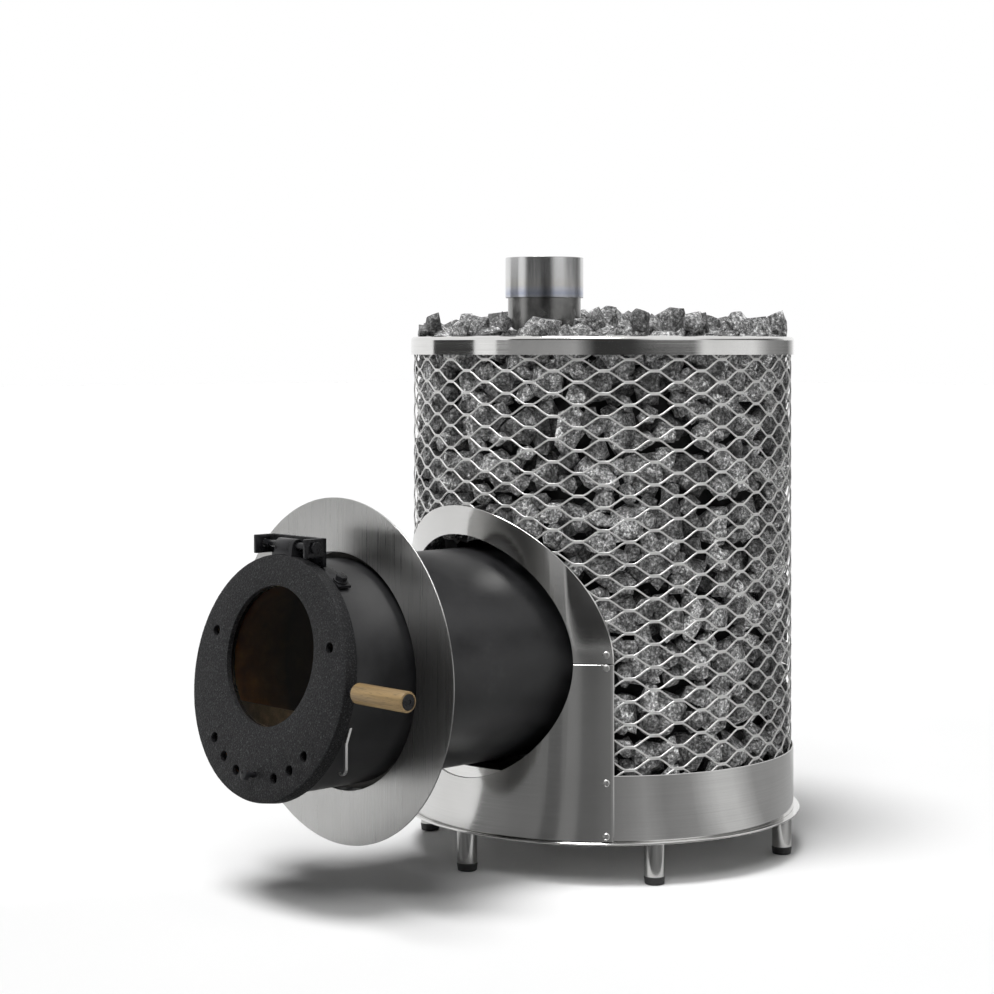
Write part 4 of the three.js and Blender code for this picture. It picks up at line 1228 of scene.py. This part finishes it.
def wall_stones(shapes, draw):
    """Stones against the mesh: a large one in each cell with one set back behind it, darkened as painted
    shade, and chips between them.
    """
    bed = StoneBed("stones_in_cage")
    columns = round(2 * math.pi * STONE_RADIUS / STONE_PITCH)
    low = band_high.z - COURSE_TUCK
    high = rim_high.z - STONE_RELIEF
    rows = round((high - low) / COURSE_PITCH)
    step = (high - low) / rows
    turn = 2 * math.pi / columns
    for row in range(rows):
        for column in range(columns):
            across, along = stone_middle(column, row, 2 * columns)
            reach = STONE_REACH - draw.uniform(*MAIN_RECESS)
            tone = draw.uniform(*WALL_TONE)
            rock = turned_rock(shapes, draw, MAIN_HALF_SIZE)
            lay_on_wall(bed, rock, across * turn, low + along * step, reach, tone)
            back = turned_rock(shapes, draw, MAIN_HALF_SIZE)
            # The stone behind gets a dim tone: painted shade between the front stones
            dim = draw.uniform(*BACK_PAINTED_SHADE_TONE)
            lay_on_wall(bed, back, (across + 0.5) * turn, low + along * step, reach - DEEP_SET_BACK, dim)
    for row in range(rows + 1):
        for half in range(2 * columns):
            across, along = edge_corner(half, row, 2 * columns)
            reach = STONE_REACH - draw.uniform(*CHIP_RECESS)
            tone = draw.uniform(*WALL_CHIP_TONE)
            chip = turned_rock(shapes, draw, CHIP_HALF_SIZE)
            lay_on_wall(bed, chip, across * turn, low + along * step, reach, tone)
            reach = STONE_REACH - draw.uniform(*SECOND_CHIP_RECESS)
            chip = turned_rock(shapes, draw, CHIP_HALF_SIZE)
            lay_on_wall(bed, chip, across * turn, low + (along + 0.5) * step, reach, tone)
    bed.build("stones_right", "stones_left", "stones_rear")


def heap_top(radius):
    share = min(radius / STONE_RADIUS, 1.0)
    return rim_high.z + HEAP_CROWN - (HEAP_CROWN - HEAP_SHOULDER) * share * share


def lay_on_heap(bed, rock, x, y, sink, tone):
    """Puts a stone inside the rim with its top the given distance below the heap's height."""
    points, faces = rock
    top = heap_top(math.hypot(x, y - cage_y)) - sink - max(p.z for p in points)
    middle = Vector((x, y, top))
    bed.add(keep_inside([p + middle for p in points], STONE_RADIUS), faces, tone)


def lay_in_cell(bed, rock, across, along, rows, sink, tone):
    """Puts a stone at a place in columns and rows, unless the rim or the flue is too near."""
    x = (across - rows / 2) * HEAP_PITCH
    y = (along - rows / 2) * HEAP_PITCH * math.sin(math.pi / 3)
    reach = max(p.length for p in rock[0])
    if math.hypot(x, y) > STONE_RADIUS - HEAP_EDGE:
        return
    if not near_flue(Vector((x, y + cage_y, 0)), HEAP_FLUE_SHARE * reach):
        lay_on_heap(bed, rock, x, y + cage_y, sink, tone)


def top_stones(shapes, draw):
    """The heap: large stones in the cells, others below them darkened as painted shade, chips between, rings
    at the rim and the flue.
    """
    bed = StoneBed("stones_on_top")
    rows = 2 * math.ceil(STONE_RADIUS / HEAP_PITCH) + 1
    for row in range(rows):
        for column in range(rows):
            across, along = stone_middle(column, row, None)
            tone = draw.uniform(*HEAP_TONE)
            rock = turned_rock(shapes, draw, MAIN_HALF_SIZE)
            lay_in_cell(bed, rock, across, along, rows, draw.uniform(*HEAP_SINK), tone)
            below = turned_rock(shapes, draw, MAIN_HALF_SIZE)
            across += BELOW_SHIFT[0]
            along += BELOW_SHIFT[1]
            # The lower stone is darkened as painted shade
            lay_in_cell(bed, below, across, along, rows, BELOW_SINK, BELOW_PAINTED_SHADE_SHARE * tone)
    for row in range(rows + 1):
        for half in range(-1, 2 * rows + 1):
            across, along = edge_corner(half, row, None)
            tone = draw.uniform(*HEAP_CHIP_TONE)
            chip = turned_rock(shapes, draw, CHIP_HALF_SIZE)
            lay_in_cell(bed, chip, across, along, rows, draw.uniform(*HEAP_CHIP_SINK), tone)
    for number in range(RIM_STONES):
        angle = 2 * math.pi * number / RIM_STONES
        rock = turned_rock(shapes, draw, MAIN_HALF_SIZE)
        x = STONE_RADIUS * math.cos(angle)
        y = cage_y + STONE_RADIUS * math.sin(angle)
        lay_on_heap(bed, rock, x, y, draw.uniform(*RIM_STONE_DROP), draw.uniform(*RING_TONE))
    for number in range(FLUE_STONES):
        angle = 2 * math.pi * number / FLUE_STONES
        rock = turned_rock(shapes, draw, FLUE_STONE_HALF_SIZE)
        away = flue_radius + SEAT_GAP + max(math.hypot(p.x, p.y) for p in rock[0])
        x = away * math.cos(angle)
        y = flue_y + away * math.sin(angle)
        lay_on_heap(bed, rock, x, y, draw.uniform(*FLUE_STONE_DROP), draw.uniform(*RING_TONE))
    bed.build("stones_top_front", "stones_top_back", "stones_top_right", "stones_top_left")


def painted_shade_liner():
    """Painted shade: a near-black wall and cap standing in for shaded stones deep in the bed, open where the
    tunnel and the flue pass.
    """
    low = band_low.z + LINER_FOOT
    high = rim_low.z - LINER_HEAD
    flue_hole = flue_radius + LINER_FLUE_GAP
    sheet = bmesh.new()
    columns = []
    for sector in range(LINER_SECTORS):
        angle = sector * 2 * math.pi / LINER_SECTORS
        right = math.sin(angle)
        ahead = math.cos(angle)
        column = []
        for layer in range(LINER_LAYERS + 1):
            z = low + (high - low) * layer / LINER_LAYERS
            spot = Vector((right * LINER_RIPPLES_ROUND, ahead * LINER_RIPPLES_ROUND, z * LINER_RIPPLES_UP))
            radius = LINER_RADIUS + noise.noise(spot) * LINER_RIPPLE
            column.append(sheet.verts.new((radius * right, cage_y - radius * ahead, z)))
        edge = column[-1].co
        hole = Vector((flue_hole * right, flue_y - flue_hole * ahead, high))
        for ring in range(1, LINER_RINGS + 1):
            column.append(sheet.verts.new(edge.lerp(hole, ring / LINER_RINGS)))
        columns.append(column)
    for column, after in zip(columns, columns[1:] + columns[:1]):
        for level in range(len(column) - 1):
            quad = [column[level], after[level], after[level + 1], column[level + 1]]
            if not any(near_tunnel(corner.co, LINER_TUNNEL_GAP) for corner in quad):
                sheet.faces.new(quad)
    loose = [v for v in sheet.verts if not v.link_faces]
    bmesh.ops.delete(sheet, geom=loose, context="VERTS")
    piece = drawn_object("stones_painted_shade", sheet)
    thicken(piece, LINER_THICKNESS, offset=-1.0)
    # The liner takes the near-black painted shade material
    finish_piece(piece, "deep", "stone")


def make_stones():
    shapes = [rock_shape(seed) for seed in range(1, ROCK_KINDS + 1)]
    draw = random.Random(STONE_SEED)
    wall_stones(shapes, draw)
    top_stones(shapes, draw)
    painted_shade_liner()


# Studio
def make_camera():
    camera = bpy.data.cameras.new("photo_camera")
    camera.lens = CAMERA_LENS
    camera.sensor_width = CAMERA_SENSOR
    camera.shift_y = CAMERA_SHIFT_Y
    holder = link_object("photo_camera", camera)
    holder.location = CAMERA_PLACE
    holder.rotation_euler = (math.radians(90), 0, math.radians(CAMERA_TURN))
    bpy.context.scene.camera = holder


def make_floor():
    corners = [(x * FLOOR_REACH, y * FLOOR_REACH, 0) for x, y in ((-1, -1), (1, -1), (1, 1), (-1, 1))]
    floor = mesh_object("studio_floor", corners, [(0, 1, 2, 3)])
    floor.data.materials.append(pale_floor())
    floor.location.z = -FLOOR_DROP


def add_sun(name, strength, azimuth, elevation, softness):
    light = bpy.data.lights.new(name, "SUN")
    light.energy = strength
    light.angle = math.radians(softness)
    lamp = link_object(name, light)
    lamp.rotation_euler = (math.radians(90 - elevation), 0, math.radians(azimuth))


def add_reflected(name, stops, near, far, material):
    """A curved strip round the stove between two edges of (distance, height), seen only in shiny surfaces."""
    places = []
    for (first, first_level), (last, last_level) in zip(stops, stops[1:]):
        steps = max(1, round((last - first) / SCREEN_STEP))
        for step in range(steps):
            share = step / steps
            places.append((first + share * (last - first), first_level + share * (last_level - first_level)))
    places.append(stops[-1])
    vertices = []
    levels = []
    for degrees, level in places:
        bearing = math.radians(degrees)
        for distance, height in (near, far):
            vertices.append((distance * math.sin(bearing), cage_y - distance * math.cos(bearing), height))
            levels.append(level)
    faces = [(2 * i, 2 * i + 2, 2 * i + 3, 2 * i + 1) for i in range(len(places) - 1)]
    strip = mesh_object(name, vertices, faces)
    strip.data.materials.append(material)
    store_values(strip, "level", levels)
    for ray in ("camera", "diffuse", "shadow", "volume_scatter"):
        setattr(strip, f"visible_{ray}", False)


def add_reflections():
    material = reflected_card()
    for name, stops, low, high in (
        ("screen_low", LOW_SCREEN, SCREEN_FOOT, SCREEN_SPLIT),
        ("screen_high", HIGH_SCREEN, SCREEN_SPLIT, SCREEN_TOP),
        ("screen_door", DOOR_SCREEN, *DOOR_SCREEN_HEIGHTS),
    ):
        add_reflected(name, stops, (SCREEN_RADIUS, low), (SCREEN_RADIUS, high), material)
    near, far = CARD_REACH
    add_reflected("floor_card", FLOOR_CARD, (near, CARD_HEIGHT), (far, CARD_HEIGHT), material)


def make_world():
    """A dim even light, and plain white where the camera or a shiny or clear surface looks past the stove."""
    world = bpy.data.worlds.new("studio")
    bpy.context.scene.world = world
    sky = Nodes(world)
    light = sky.add("Background", "Background", Color=WHITE, Strength=EVEN_LIGHT)
    white = sky.add("Background", "Background", Color=WHITE, Strength=1.0)
    seen = sky.add("LightPath", "Is Camera Ray")
    for ray in ("Is Glossy Ray", "Is Transmission Ray"):
        seen = sky.calculate("MAXIMUM", seen, sky.add("LightPath", ray))
    mixed = sky.add("MixShader", "Shader", seen, light, white)
    sky.set_inputs(sky.tree.nodes["World Output"], Surface=mixed)


def make_studio():
    make_camera()
    make_floor()
    make_world()
    for sun in SUNS:
        add_sun(*sun)
    add_reflections()
    bpy.context.scene.view_settings.view_transform = "Standard"


dress_frame()
make_cage_sheets()
make_legs()
make_shields()
make_tunnel()
make_flue()
make_flange()
make_door_frame()
make_glass()
make_handle()
make_knob()
make_hinge()
make_hook()
make_mesh()
make_stones()
shield_screws()
make_studio()
